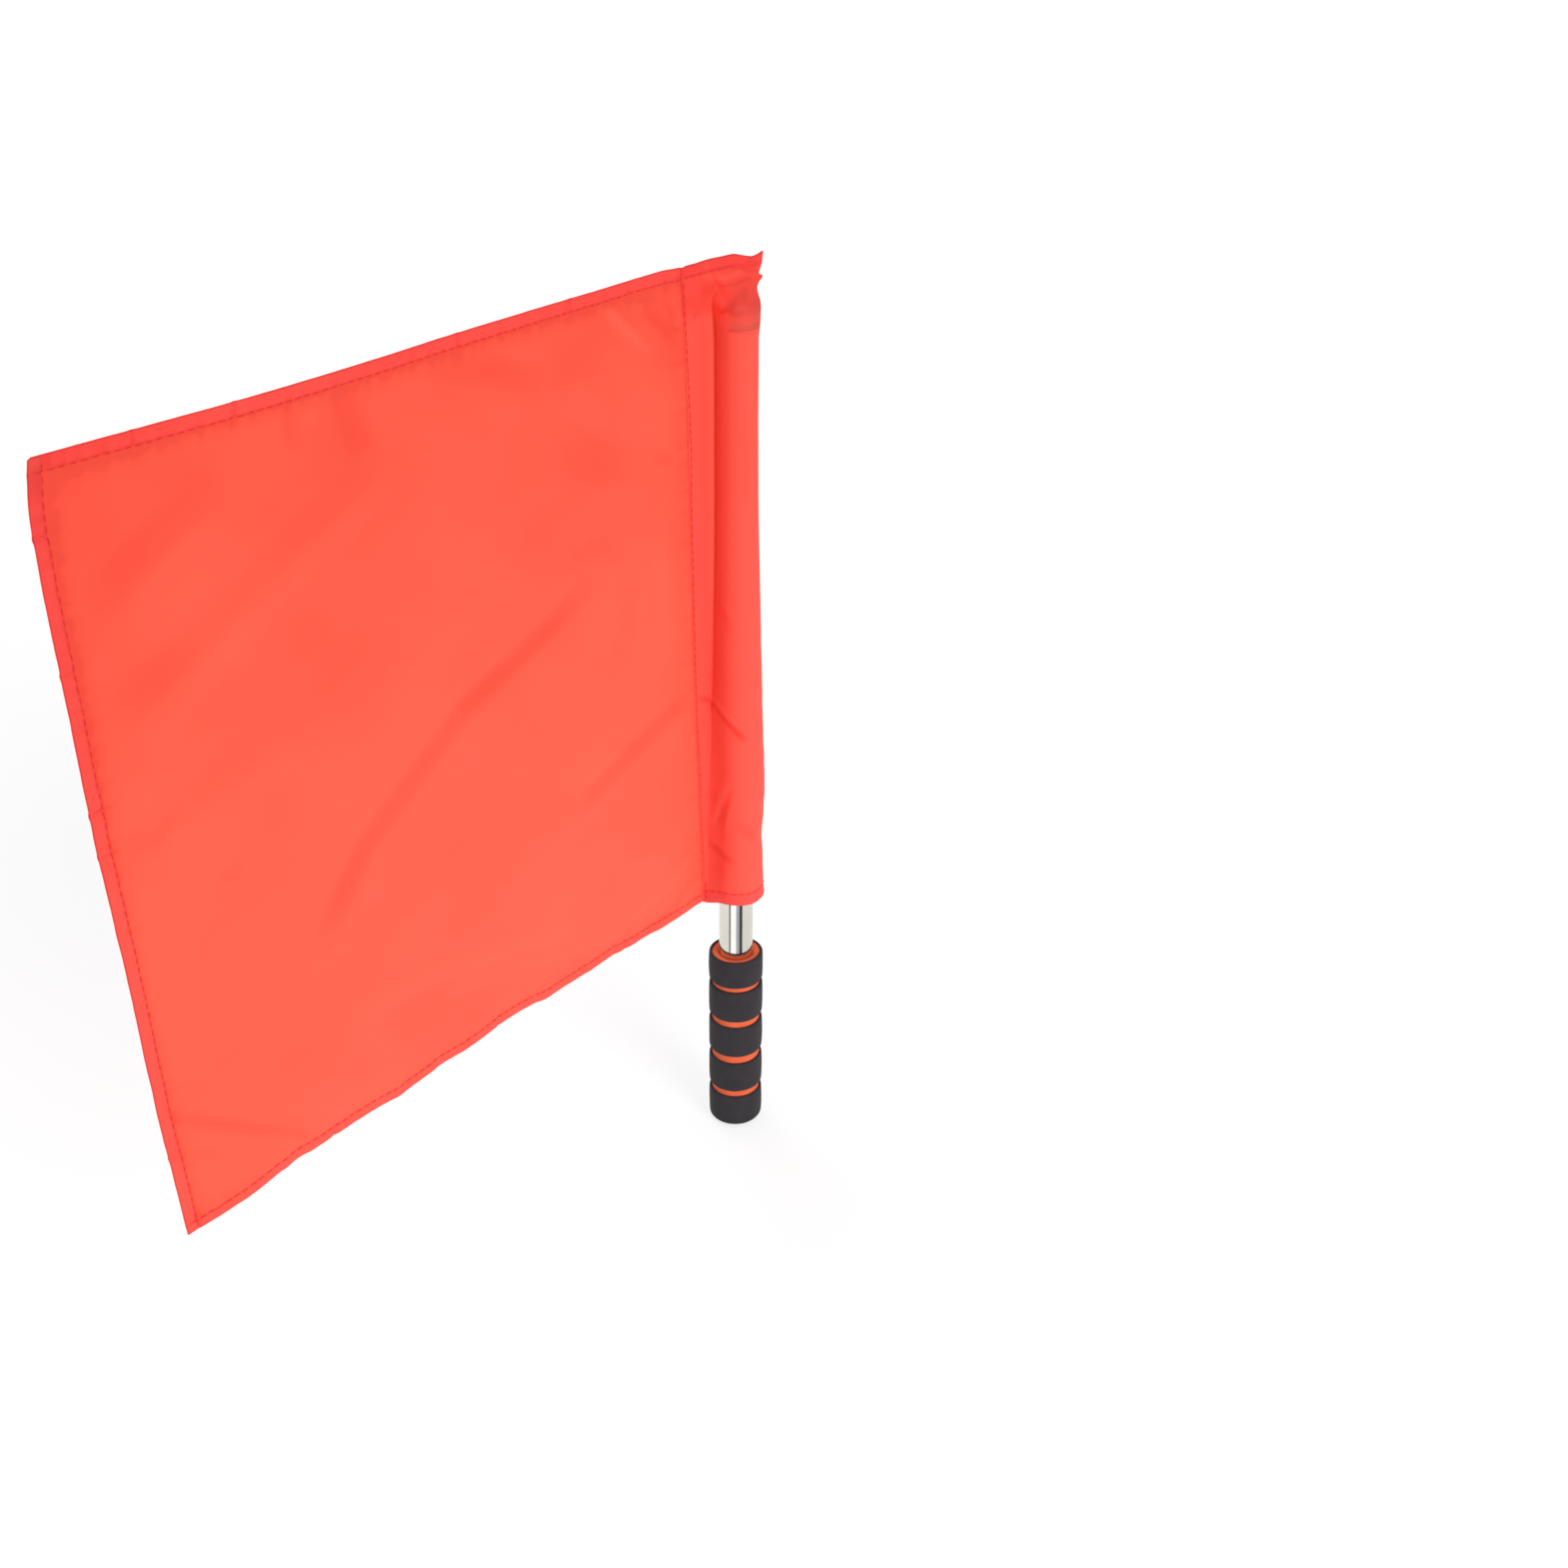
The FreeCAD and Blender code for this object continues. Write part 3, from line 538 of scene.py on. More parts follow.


# Each crease lifts the cloth and is also painted into its colour: painted shade where its depth
# is negative, painted light where it is positive.
PANEL_CREASES = (
    (((255, 96), (221, 138), (159, 179), (99, 200), (70, 214)), 13, -1.5),
    (((5, 128), (49, 114), (92, 97)), 12, -1.2),
    (((120, 157), (109, 141), (96, 125)), 9, -0.5),
    (((330, 284), (300, 301), (262, 318)), 17, -0.8),
    (((335, 191), (315, 187), (301, 198)), 9, -0.5),
    (((296, 158), (280, 156)), 7, -0.35),
    (((206, 341), (201, 324), (195, 308)), 13, -0.9),
    (((230, 340), (231, 320)), 7, -0.5),
    (((220, 341), (220, 324)), 6, 0.5),
    (((274, 340), (273, 330)), 4, 0.4),
    (((162, 338), (130, 328), (94, 316)), 12, -0.7),
    (((56, 341), (42, 325), (28, 316)), 6, 0.7),
    (((40, 341), (12, 330)), 6, -0.6),
    (((28, 333), (16, 323), (4, 312)), 7, -1.3),
    (((15, 338), (2, 322)), 4, 0.5),
    (((25, 262), (9, 254)), 6, -0.5),
    (((100, 285), (60, 270), (12, 249)), 24, -0.6),
    (((23, 222), (20, 183), (22, 148)), 15, 0.7),
    (((45, 212), (50, 182), (57, 160)), 17, -0.5),
    (((91, 229), (65, 229), (44, 216)), 12, -0.7),
    (((1, 21), (25, 7), (55, 0)), 7, -0.7),
    (((5, 32), (29, 22), (64, 17)), 7, 0.7),
    (((240, 58), (192, 53), (146, 42), (90, 26)), 12, 0.6),
    (((183, 32), (181, 12)), 4, 0.3),
    (((228, 38), (226, 24)), 4, 0.3),
    (((132, 27), (128, 10)), 4, 0.3),
    (((338, 63), (305, 36), (270, 5)), 6, -1.2),
    (((336, 43), (314, 26)), 5, -0.4),
    (((131, 330), (116, 320), (94, 309)), 17, -0.5),
    (((84, 309), (56, 286)), 15, 0.5),
    (((54, 338), (38, 324), (23, 310)), 5, 0.8),
    (((13, 337), (4, 316)), 5, -0.9),
    (((193, 303), (283, 262), (325, 240)), 18, -0.5),
    (((170, 300), (255, 262), (318, 222)), 14, 0.4),
    (((173, 256), (240, 215), (330, 190)), 18, -0.3),
    (((196, 41), (125, 25), (60, 8)), 8, 0.5),
    (((344, 317), (330, 318)), 2.2, -0.8),
    (((344, 265), (331, 264)), 2.2, -0.7),
    (((344, 207), (330, 209)), 2.2, -0.8),
    (((344, 190), (331, 189)), 2.2, -0.6),
    (((344, 42), (331, 43)), 2.2, -0.6),
    (((300, 350), (299, 334)), 2.0, -0.5),
    (((255, 350), (256, 335)), 2.0, -0.5),
    (((143, 350), (141, 335)), 2.2, -0.5),
    (((75, 350), (73, 334)), 2.2, -0.6),
    (((60, -6), (63, 10)), 2.5, -0.5),
    (((155, -6), (153, 10)), 2.5, -0.6),
    (((262, -6), (258, 9)), 2.5, -0.6),
)


def soft_fold(u, v, start, end, bow_share, half_share, height):
    """Broad fold of the CAD cloth between two places given in shares."""
    du, dv = (end[0] - start[0]) * WIDTH, (end[1] - start[1]) * HEIGHT
    length = math.hypot(du, dv)
    pu, pv = u - start[0] * WIDTH, v - start[1] * HEIGHT
    along = (pu * du + pv * dv) / length ** 2
    aside = (pv * du - pu * dv) / length
    fade = np.clip(1 - (2 * along - 1) ** 2, 0, None)
    bow = bow_share * length * fade
    return height * fade * hump((aside - bow) / (half_share * WIDTH))


print(len(PANEL_CREASES), "creases on the panel")

# %% [markdown]
# Sewing draws thin cloth together, so a row of stitches has small dents at every needle
# hole and soft ripples beside it. The ripples here are sums of a few waves with fixed
# starting points, so that the flag comes out the same each time.

# %% Sewn ripples
TOP_HEM, FLY_HEM, FOOT_HEM, STITCH = 5.6, 5.3, 4.6, 4.4
WAVE_STARTS = np.random.default_rng(7).uniform(0, 2 * math.pi, 40)
SHORT_WAVES = (13.0, 8.1, 5.7)
CLOUDS = ((118, 0.4), (83, 1.9), (57, 2.7), (44, 0.9), (36, 2.2), (29, 1.3))


def ripple(along, first, lengths=(31.0, 17.3, 11.1, 7.4)):
    """Sum of a few waves along an edge, roughly from -1 to 1."""
    total = 0 * along
    for number, length in enumerate(lengths):
        turn = 2 * math.pi * along / length + WAVE_STARTS[(first + number) % 40]
        total = total + np.sin(turn) * (length / lengths[0]) ** 0.4
    return total / len(lengths)


def needle_line(along, away):
    """Share from 0 to 1 of the narrow line that a row of stitches presses, deepest at holes."""
    holes = 0.5 + 0.5 * np.cos(2 * math.pi * along / STITCH)
    return (0.7 + 0.3 * holes) * np.exp(-(away / 0.75) ** 2)


def sewn(along, away, first, size):
    """Ripples and needle dents beside a row of stitches at a distance away from it."""
    soft = size * ripple(along, first) * np.exp(-(away / 7.0) ** 2)
    return soft - 0.22 * needle_line(along, away)


def hem_rows(u, v):
    """Top, fly and foot row: place along it, distance inside it, and its first wave."""
    return (u, HEIGHT - TOP_HEM - v, 0), (v, WIDTH - FLY_HEM - u, 4), (u, v - FOOT_HEM, 8)


def cloud(u, v):
    """Very soft unevenness of the whole panel."""
    total = 0 * u
    for number, (length, turn) in enumerate(CLOUDS):
        across = u * math.cos(turn) + v * math.sin(turn)
        total = total + length / 118 * np.sin(2 * math.pi * across / length
                                              + WAVE_STARTS[20 + number])
    return total


print("needle dents every", STITCH, "mm")

# %% Surface of the panel
FLY_EDGE = ((-8, 339.4), (0, 339.8), (12, 340.2), (23, 340.3), (61, 340.5), (114, 340.7),
            (164, 340.9), (196, 341.5), (240, 340.7), (268, 340.3), (300, 340.2), (318, 339.4),
            (329, 338.4), (337, 337.2), (345, 335.3), (353, 333.4))
TOP_SHIFT = ((0, -1.3), (6, -0.8), (14, 0.0), (60, 0.1), (90, 0.4), (130, 0.5), (150, 0.3),
             (170, -0.2), (185, -0.5), (215, -0.7), (260, -0.9), (300, -0.8), (341, -0.6))
FOOT_SHIFT = ((0, 0.3), (8, 0.6), (16, -0.3), (24, -1.1), (36, -2.2), (42, -1.9), (56, -3.0),
              (64, -2.9), (70, -2.1), (78, -2.5), (88, -3.1), (97, -2.6), (110, -2.4),
              (119, -2.8), (123, -2.4), (127, -1.1), (132, -0.2), (140, 0.5), (150, 0.8),
              (160, 0.0), (170, -0.6), (178, -1.0), (186, -0.2), (192, 0.4), (200, -0.2),
              (214, -0.5), (219, -1.0), (224, -0.4), (230, 0.6), (237, 1.3), (250, 1.7),
              (262, 2.2), (274, 2.4), (279, 3.4), (283, 3.4), (287, 2.7), (293, 2.5),
              (299, 1.4), (305, 0.5), (312, 0.1), (326, 0.5), (341, 1.4))
SEAM_SAG, TOP_SAG = 4.2, 1.4


def panel_place(u, v):
    """Point of the panel's middle surface, in metres, u from the seam and v from the foot."""
    share, up_share = u / WIDTH, v / HEIGHT
    lift = soft_fold(u, v, (0.16, 0.63), (0.82, 0.26), 0.042, 0.085, 1.5)
    lift += soft_fold(u, v, (0.0, 0.385), (0.31, 0.27), 0.0, 0.055, 1.1)
    lift -= 2.4 * np.sin(2 * math.pi * 0.72 * share) * (1 - ease(v / (0.22 * HEIGHT)))
    for path, half, depth in PANEL_CREASES:
        lift += crease(u, v, path, half, depth) * ease(u / 4.0)
    near_seam = ease(u / 14.0)
    lift += 0.22 * cloud(u, v) * near_seam
    sizes = ((0.32, near_seam), (0.30, 1), (0.42, near_seam))
    for (along, away, first), (size, fade) in zip(hem_rows(u, v), sizes):
        lift += sewn(along, away, first, size) * fade
    lift += 0.25 * ripple(v, 12) * np.exp(-(u / 10.0) ** 2) * ease((u - 2.2) / 3.0)
    shift = -SEAM_SAG * (1 - ease(share / 0.25)) * (1 - up_share)
    shift -= TOP_SAG * 4 * share * (1 - share) * up_share
    shift += along_table(u, FOOT_SHIFT, 1.6) * (1 - ease(v / 60.0))
    shift += along_table(u, TOP_SHIFT, 2.5) * ease((v - 285.5) / 60.0)
    fly = along_table(v, FLY_EDGE, 4.0) - WIDTH + 0.10 * ripple(v, 26, (33.0, 21.0))
    pull = fly * np.clip(share, 0, 1) ** 1.3
    return to_frame(-(u + pull), PLANE - lift, v + shift)


def floored(painted_shading, low):
    """Painted shading kept above a low value, with a soft bend instead of an edge."""
    return 0.5 * (painted_shading + low + np.sqrt((painted_shading - low) ** 2 + 0.004))


def panel_painted_shading(u, v):
    """Painted shading of the cloth: 0.5 is plain, less is painted shade, more painted light."""
    # Painted shade, darker towards the top and towards the upper fly corner, with a faint random
    # mottle.
    painted_shading = 0.5 + 0.045 * cloud(u, v) - 0.19 * ease((v - 160) / 90) - 0.10 * ease((v - 270) / 60)
    painted_shading -= 0.05 * ease((u - 280) / 50) * ease((v - 150) / 90)
    # Painted shade beside the seam.
    painted_shading -= 0.14 * np.exp(-(u / 14.0) ** 2)
    # Painted shade and painted light along each crease; narrow pinches are painted stronger.
    for path, half, depth in PANEL_CREASES:
        painted_shading += (0.22 if half > 3 else 0.45) * crease_shade(u, v, path, half, depth)
    painted_shading = floored(painted_shading, 0.04)
    # Painted shade and light of the ripples beside each hem and beside the seam.
    for along, away, first in (*hem_rows(u, v), (v, u - 3.0, 12)):
        painted_shading += 0.12 * ripple(along, first + 2, SHORT_WAVES) * np.exp(-(away / 6) ** 2)
    # Painted shade beside each hem's turned edge and in each row's needle line.
    for (along, away, first), beside in zip(hem_rows(u, v), (0.22, 0.26, 0.10)):
        painted_shading -= beside * ease((away + 0.4) / 0.8) * np.exp(-(away / 4.5) ** 2)
        painted_shading -= 0.40 * needle_line(along, away)
    return np.clip(painted_shading, 0, 1)


sample = panel_place(np.array([0.0, WIDTH]), np.array([0.0, HEIGHT]))
print("panel corners", np.round(sample, 4).tolist())

# %% [markdown]
# The cloth itself is a thin plain-woven nylon: dull, bright red, and so thin that light
# comes through it. That light is painted: where it lies double, in hems and in the sleeve,
# its red is painted deeper. Three masks on the mesh drive its colour: painted shade where
# the cloth is doubled, painted shade and light in its creases and seams, and a painted
# grey shade over the cap inside the sleeve, on the sleeve's flank and on the fly hem.

# %% Cloth and thread finishes
MASKS = ("doubled_shade", "painted_shading", "painted_grey")
red_cloth, tree, shader = new_material(
    "red_cloth", Sheen_Weight=0.03, Sheen_Roughness=0.4, Specular_IOR_Level=0.22)
doubled_shade, painted_shading, painted_grey = [
    add(tree, "ShaderNodeAttribute", (-1200, 700 - 200 * row), attribute_name=label)
    for row, label in enumerate(MASKS)]
place = add(tree, "ShaderNodeTexCoord", (-1200, 0))
uv = add(tree, "ShaderNodeUVMap", (-1200, -300), uv_map="weave_place")
clouds = add(tree, "ShaderNodeGroup", (-900, 0), {"Scale": 14.0, "Low": 0.2, "High": 0.8},
             node_tree=uneven)
threads = add(tree, "ShaderNodeGroup", (-700, -300), {"Threads": 9000.0}, node_tree=weave)
rough = add(tree, "ShaderNodeMapRange", (-300, -100), {"To Min": 0.55, "To Max": 0.68})
# The doubled red is painted shade: a double layer lets less light through.
base = mixed(tree, (-900, 500), colour(255, 103, 79), colour(253, 84, 79))
# Painted shading: the ramp makes the colour deeper below 0.5 as painted shade, and lighter above
# 0.5 as painted light.
shades = add(tree, "ShaderNodeValToRGB", (-900, 300))
shades.color_ramp.elements[0].color = (0.86, 0.47, 0.47, 1)
shades.color_ramp.elements[1].color = WHITE
for spot, shade in ((0.12, (0.965, 0.60, 0.59, 1)), (0.25, (0.985, 0.71, 0.70, 1)),
                    (0.5, (0.99, 0.84, 0.83, 1))):
    shades.color_ramp.elements.new(spot).color = shade
toned = mixed(tree, (-600, 400), WHITE, WHITE, "MULTIPLY")
toned.inputs["Factor"].default_value = 1
# Painted grey shade over the cap, the sleeve's flank and the fly hem, set by the grey mask.
capped = mixed(tree, (-350, 400), BLACK, colour(196, 76, 64))
cloudy = mixed(tree, (-150, 300), WHITE, (0.99, 0.95, 0.945, 1), "MULTIPLY")
wire(tree, (doubled_shade, "Fac", base, "Factor"), (painted_shading, "Fac", shades, "Fac"),
     (base, "Result", toned, "A"), (shades, "Color", toned, "B"),
     (painted_grey, "Fac", capped, "Factor"), (toned, "Result", capped, "A"),
     (place, "Object", clouds, "Place"), (clouds, "Mask", cloudy, "Factor"),
     (capped, "Result", cloudy, "A"), (cloudy, "Result", shader, "Base Color"),
     (clouds, "Mask", rough, "Value"), (rough, "Result", shader, "Roughness"),
     (uv, "UV", threads, "Place"))
bumped(tree, shader, threads, 0.12, 0.00008)
print("finish red_cloth")

# The thread's reds are painted deeper than the cloth's, as painted shade in the stitch lines, and
# the bar tack is painted deeper still as painted shade between its packed stitches.
red_thread = clouded(
    "red_thread", colour(230, 60, 50), colour(218, 54, 45), (0.6, 0.75), {"Scale": 400.0},
    (weave, {"Threads": 12000.0}, 0.08, 0.00003), ("tack_shade", colour(205, 46, 42)),
    Sheen_Weight=0.05, Specular_IOR_Level=0.15)

# %% [markdown]
# Cloth is a sheet with a thickness. The helper below takes a grid of points on the middle
# surface and makes a closed thin solid from it, with a front, a back and a narrow rim. It
# also lays the weave's coordinates and the masks on it.


def sewn_in(piece, node, body):
    """Put a piece in a node's place on its body. At the seam it is baked in place with no body.
    """
    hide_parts(node)
    if body == "seam":
        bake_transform(piece)
    else:
        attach(piece, body)
    return piece


def grid_normals(points):
    """Unit normals of a grid of points, by its two directions."""
    normal = np.cross(np.gradient(points, axis=1), np.gradient(points, axis=0))
    length = np.linalg.norm(normal, axis=2, keepdims=True)
    return normal / np.maximum(length, 1e-12)


def cloth_sheet(name, node, body, points, uv, normals=None, masks=(1.0, 0.5, 0.0)):
    """Thin closed sheet round a grid of points, in metres, with its three masks."""
    if normals is None:
        normals = grid_normals(points)
    half = CLOTH / 2 * MM
    vertices = np.concatenate([(points + normals * half).reshape(-1, 3),
                               (points - normals * half).reshape(-1, 3)])
    shape = points.shape[:2]
    total = shape[0] * shape[1]
    index = np.arange(total).reshape(shape)
    a, b = index[:-1, :-1].ravel(), index[:-1, 1:].ravel()
    c, d = index[1:, 1:].ravel(), index[1:, :-1].ravel()
    ring = np.concatenate([index[0, :-1], index[:-1, -1], index[-1, :0:-1], index[:0:-1, 0]])
    after = np.roll(ring, -1)
    faces = np.concatenate([np.stack([a, b, c, d], 1), np.stack([d, c, b, a], 1) + total,
                            np.stack([ring, ring + total, after + total, after], 1)])
    piece = mesh_piece(name, vertices.tolist(), faces.tolist(), red_cloth)
    mesh = piece.data
    loops = np.empty(len(mesh.loops), dtype=np.int64)
    mesh.loops.foreach_get("vertex_index", loops)
    flat = np.concatenate([uv.reshape(-1, 2)] * 2)[loops] * MM
    layer = mesh.uv_layers.new(name="weave_place")
    layer.data.foreach_set("uv", flat.astype(np.float32).ravel())
    for label, values in zip(MASKS, masks):
        mask = mesh.attributes.new(label, "FLOAT", "POINT")
        both = np.concatenate([np.broadcast_to(values, shape).ravel()] * 2)
        mask.data.foreach_set("value", both.astype(np.float32))
    return sewn_in(piece, node, body)


# %% [markdown]
# The panel is a grid that is finest beside its hems, where the stitches dent it, and about
# 1.7 mm elsewhere. At the seam it is baked in place, with no body of its own.

# %% Panel
COARSE, FINE = ((1.7, 0.6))


def stops(length, fine_ends):
    """Places along a length, close together near both ends."""
    near = np.arange(0, fine_ends[0], FINE)
    far = length - np.arange(0, fine_ends[1], FINE)[::-1]
    middle = np.linspace(near[-1], far[0], max(2, int((far[0] - near[-1]) / COARSE)))[1:-1]
    return np.concatenate([near, middle, far])


grid_v, grid_u = np.meshgrid(stops(HEIGHT, (11, 9))[::-1], stops(WIDTH, (9, 11))[::-1],
                             indexing="ij")
# Where the hems lie double the red is painted deeper, as painted shade.
fly_layer = (0.45 + 0.5 * grid_v / HEIGHT) * ease(grid_u - WIDTH + FLY_HEM + 0.5)
top_layer = 0.80 * ease(grid_v - HEIGHT + TOP_HEM + 0.5)
foot_layer = 0.45 * ease(FOOT_HEM + 0.5 - grid_v)
layers = np.maximum(fly_layer, np.maximum(top_layer, foot_layer))
# Painted grey shade over the fly hem, stronger at its top corner where more layers lie.
panel_grey_shade = 0.16 * ease(grid_u - WIDTH + FLY_HEM) * (
    1 + 1.1 * ease(grid_v - HEIGHT + TOP_HEM))
panel = cloth_sheet("cloth_panel", "flag_panel", "seam", panel_place(grid_u, grid_v),
                    np.stack([grid_u, grid_v], -1),
                    masks=(layers, panel_painted_shading(grid_u, grid_v), panel_grey_shade))

# %% [markdown]
# A hem is the cloth's own edge turned to the back and sewn down. Each is a strip that
# starts at the edge of the panel, goes round a tiny half circle and lies behind it.

# %% Hems of the panel
TURN_RADIUS, FLAT_STEPS, LAP = 0.2, 8, 0.9


def panel_normal(u, v):
    """Unit normal of the panel's surface towards the front."""
    step = 0.5
    east = panel_place(u + step, v) - panel_place(u - step, v)
    north = panel_place(u, v + step) - panel_place(u, v - step)
    normal = np.cross(north, east)
    return normal / np.linalg.norm(normal, axis=-1, keepdims=True)


def turned_edge(degrees):
    """How far behind and beyond an edge the cloth is as it turns round and then lies flat."""
    turns = np.radians(degrees)
    behind = [TURN_RADIUS * (1 - np.cos(turns)), np.full(FLAT_STEPS, 2 * TURN_RADIUS)]
    beyond = [TURN_RADIUS * np.sin(turns), np.zeros(FLAT_STEPS)]
    return np.concatenate(behind), np.concatenate(beyond)


def turned_hem(edge, body, width, along, first):
    """Strip behind one edge of the panel. Edge is top, bottom or fly."""
    behind, beyond = turned_edge([20, 60, 100, 140, 180])
    inward = np.concatenate([np.zeros(5), np.linspace(0.7, width, FLAT_STEPS)])
    depth_grid, along_grid = np.meshgrid(inward, along, indexing="ij")
    if edge == "top":
        u, v, out = along_grid, HEIGHT - depth_grid, (0, 1)
    elif edge == "bottom":
        u, v, out = along_grid, depth_grid, (0, -1)
    else:
        u, v, out = WIDTH - depth_grid, along_grid, (1, 0)
    ahead = panel_place(u + out[0] * 0.5, v + out[1] * 0.5) - panel_place(
        u - out[0] * 0.5, v - out[1] * 0.5)
    ahead /= np.linalg.norm(ahead, axis=-1, keepdims=True)
    loose = np.clip((depth_grid - 0.75 * width) / (0.25 * width), 0, 1)
    back = behind[:, None] + 0.22 * loose * (1 + ripple(along_grid, first))
    if edge == "fly":
        corner = np.maximum(ease((along_grid - HEIGHT + TOP_HEM + 1.5) / 1.5),
                            ease((FOOT_HEM + 1.5 - along_grid) / 1.5))
        back = back + 0.42 * corner * np.clip(depth_grid / 0.7, 0, 1)
    points = panel_place(u, v) - panel_normal(u, v) * (back * MM)[..., None]
    points = points + ahead * (beyond[:, None] * MM)[..., None]
    cloth_sheet("cloth_" + edge + "_hem", edge + "_hem", body, points,
                np.stack([along_grid, depth_grid], -1))


hem_u, hem_v = np.arange(1.2, WIDTH + 0.01, 1.0), np.arange(0, HEIGHT + 0.01, 1.0)
turned_hem("top", "seam", TOP_HEM + LAP, hem_u, 1)
turned_hem("bottom", "seam", FOOT_HEM + LAP, hem_u, 9)
turned_hem("fly", "panel", FLY_HEM + LAP, hem_v, 5)

# %% [markdown]
# A stitch is a short bowed piece of thread whose ends dive into the cloth. A row is many of
# them at an even step, on the front and, half a step on, at the back of the layers.

# %% Stitches
RINGS = ((-0.40, -0.24, 0.7), (-0.24, 0.08, 1.0), (-0.08, 0.16, 1.0), (0.08, 0.16, 1.0),
         (0.24, 0.08, 1.0), (0.40, -0.24, 0.7))
THREAD_SIDES = 6


def stitch_row(name, node, body, places, normals, back_depth=0.55, pitch=STITCH,
               radius=0.24):
    """Row of stitches along points in metres, on both faces of the layers."""
    steps = np.linalg.norm(np.diff(places, axis=0), axis=1)
    run = np.concatenate([[0], np.cumsum(steps)]) / MM
    points, faces = [], []

    def at(spot, field):
        return np.array([np.interp(spot, run, field[:, axis]) for axis in range(3)])

    for face in (1, -1):
        middle = pitch * (0.5 if face == 1 else 1.0)
        while middle + 0.42 * pitch < run[-1]:
            start = len(points)
            for share, rise, wide in RINGS:
                spot = middle + share * pitch
                where, out = at(spot, places), at(spot, normals)
                out /= np.linalg.norm(out)
                ahead = at(spot + 0.2, places) - at(spot - 0.2, places)
                ahead /= np.linalg.norm(ahead)
                aside = np.cross(ahead, out)
                level = (CLOTH / 2 + rise) if face == 1 else -(back_depth + rise)
                for side in range(THREAD_SIDES):
                    turn = 2 * math.pi * side / THREAD_SIDES
                    bowed = where + out * (level + wide * radius * math.sin(turn)) * MM
                    points.append(bowed + aside * (wide * radius) * math.cos(turn) * MM)
            for one in range(start, len(points) - THREAD_SIDES, THREAD_SIDES):
                for side in range(THREAD_SIDES):
                    after, two = (side + 1) % THREAD_SIDES, one + THREAD_SIDES
                    faces.append((one + side, one + after, two + after, two + side))
            faces.append(tuple(range(start, start + THREAD_SIDES))[::-1])
            faces.append(tuple(range(len(points) - THREAD_SIDES, len(points))))
            middle += pitch
    piece = mesh_piece(name, points, faces, red_thread)
    return sewn_in(piece, node, body)


line_u, line_v = np.arange(1.4, WIDTH - 0.6, 0.75), np.arange(0.6, HEIGHT - 0.5, 0.75)
for edge, body, u, v in (("top", "seam", line_u, HEIGHT - TOP_HEM),
                         ("bottom", "seam", line_u, FOOT_HEM),
                         ("fly", "panel", WIDTH - FLY_HEM, line_v)):
    u, v = np.broadcast_arrays(u, v)
    stitch_row("thread_" + edge + "_hem", edge + "_hem_thread", body, panel_place(u, v),
               panel_normal(u, v))

# %% [markdown]
# The sleeve is one strip of cloth led round the pole and sewn to itself at the seam. It is
# tight round the cap, flat and closed above it, and ever looser downwards, where it bulges
# at the front and folds back sharply towards the seam. It is made as a stack of outlines:
# each runs from the back of the seam round the pole to the front of the seam.

# %% Outlines of the sleeve
HUG, CAP_HUG, STEP, CLOSED_REACH, MOUTH_DROP = 10.0, 10.6, 0.7, 24.5, 4.2
SEAM_RUN = ((0, 0.4), (40, 0.2), (73, -0.1), (98, -0.7), (120, -0.9), (145, -0.9), (167, -0.6),
            (189, -0.3), (210, -0.1), (231, 0.2), (251, 1.2), (271, 1.1), (291, 0.8), (310, 0.3),
            (330, -0.5), (345, -0.6))
SAMPLES = (26, 34, 34, 26, 16, 30)


def pole_place(level):
    """Where the pole's axis is, from the seam, at a height up the cloth."""
    return SEAM_FOOT / math.cos(LEAN) + level * math.tan(LEAN)


def seam_run(level):
    """How far right of the seam its stitches run, at a height up the cloth."""
    return along_table(level, SEAM_RUN, 8.0)


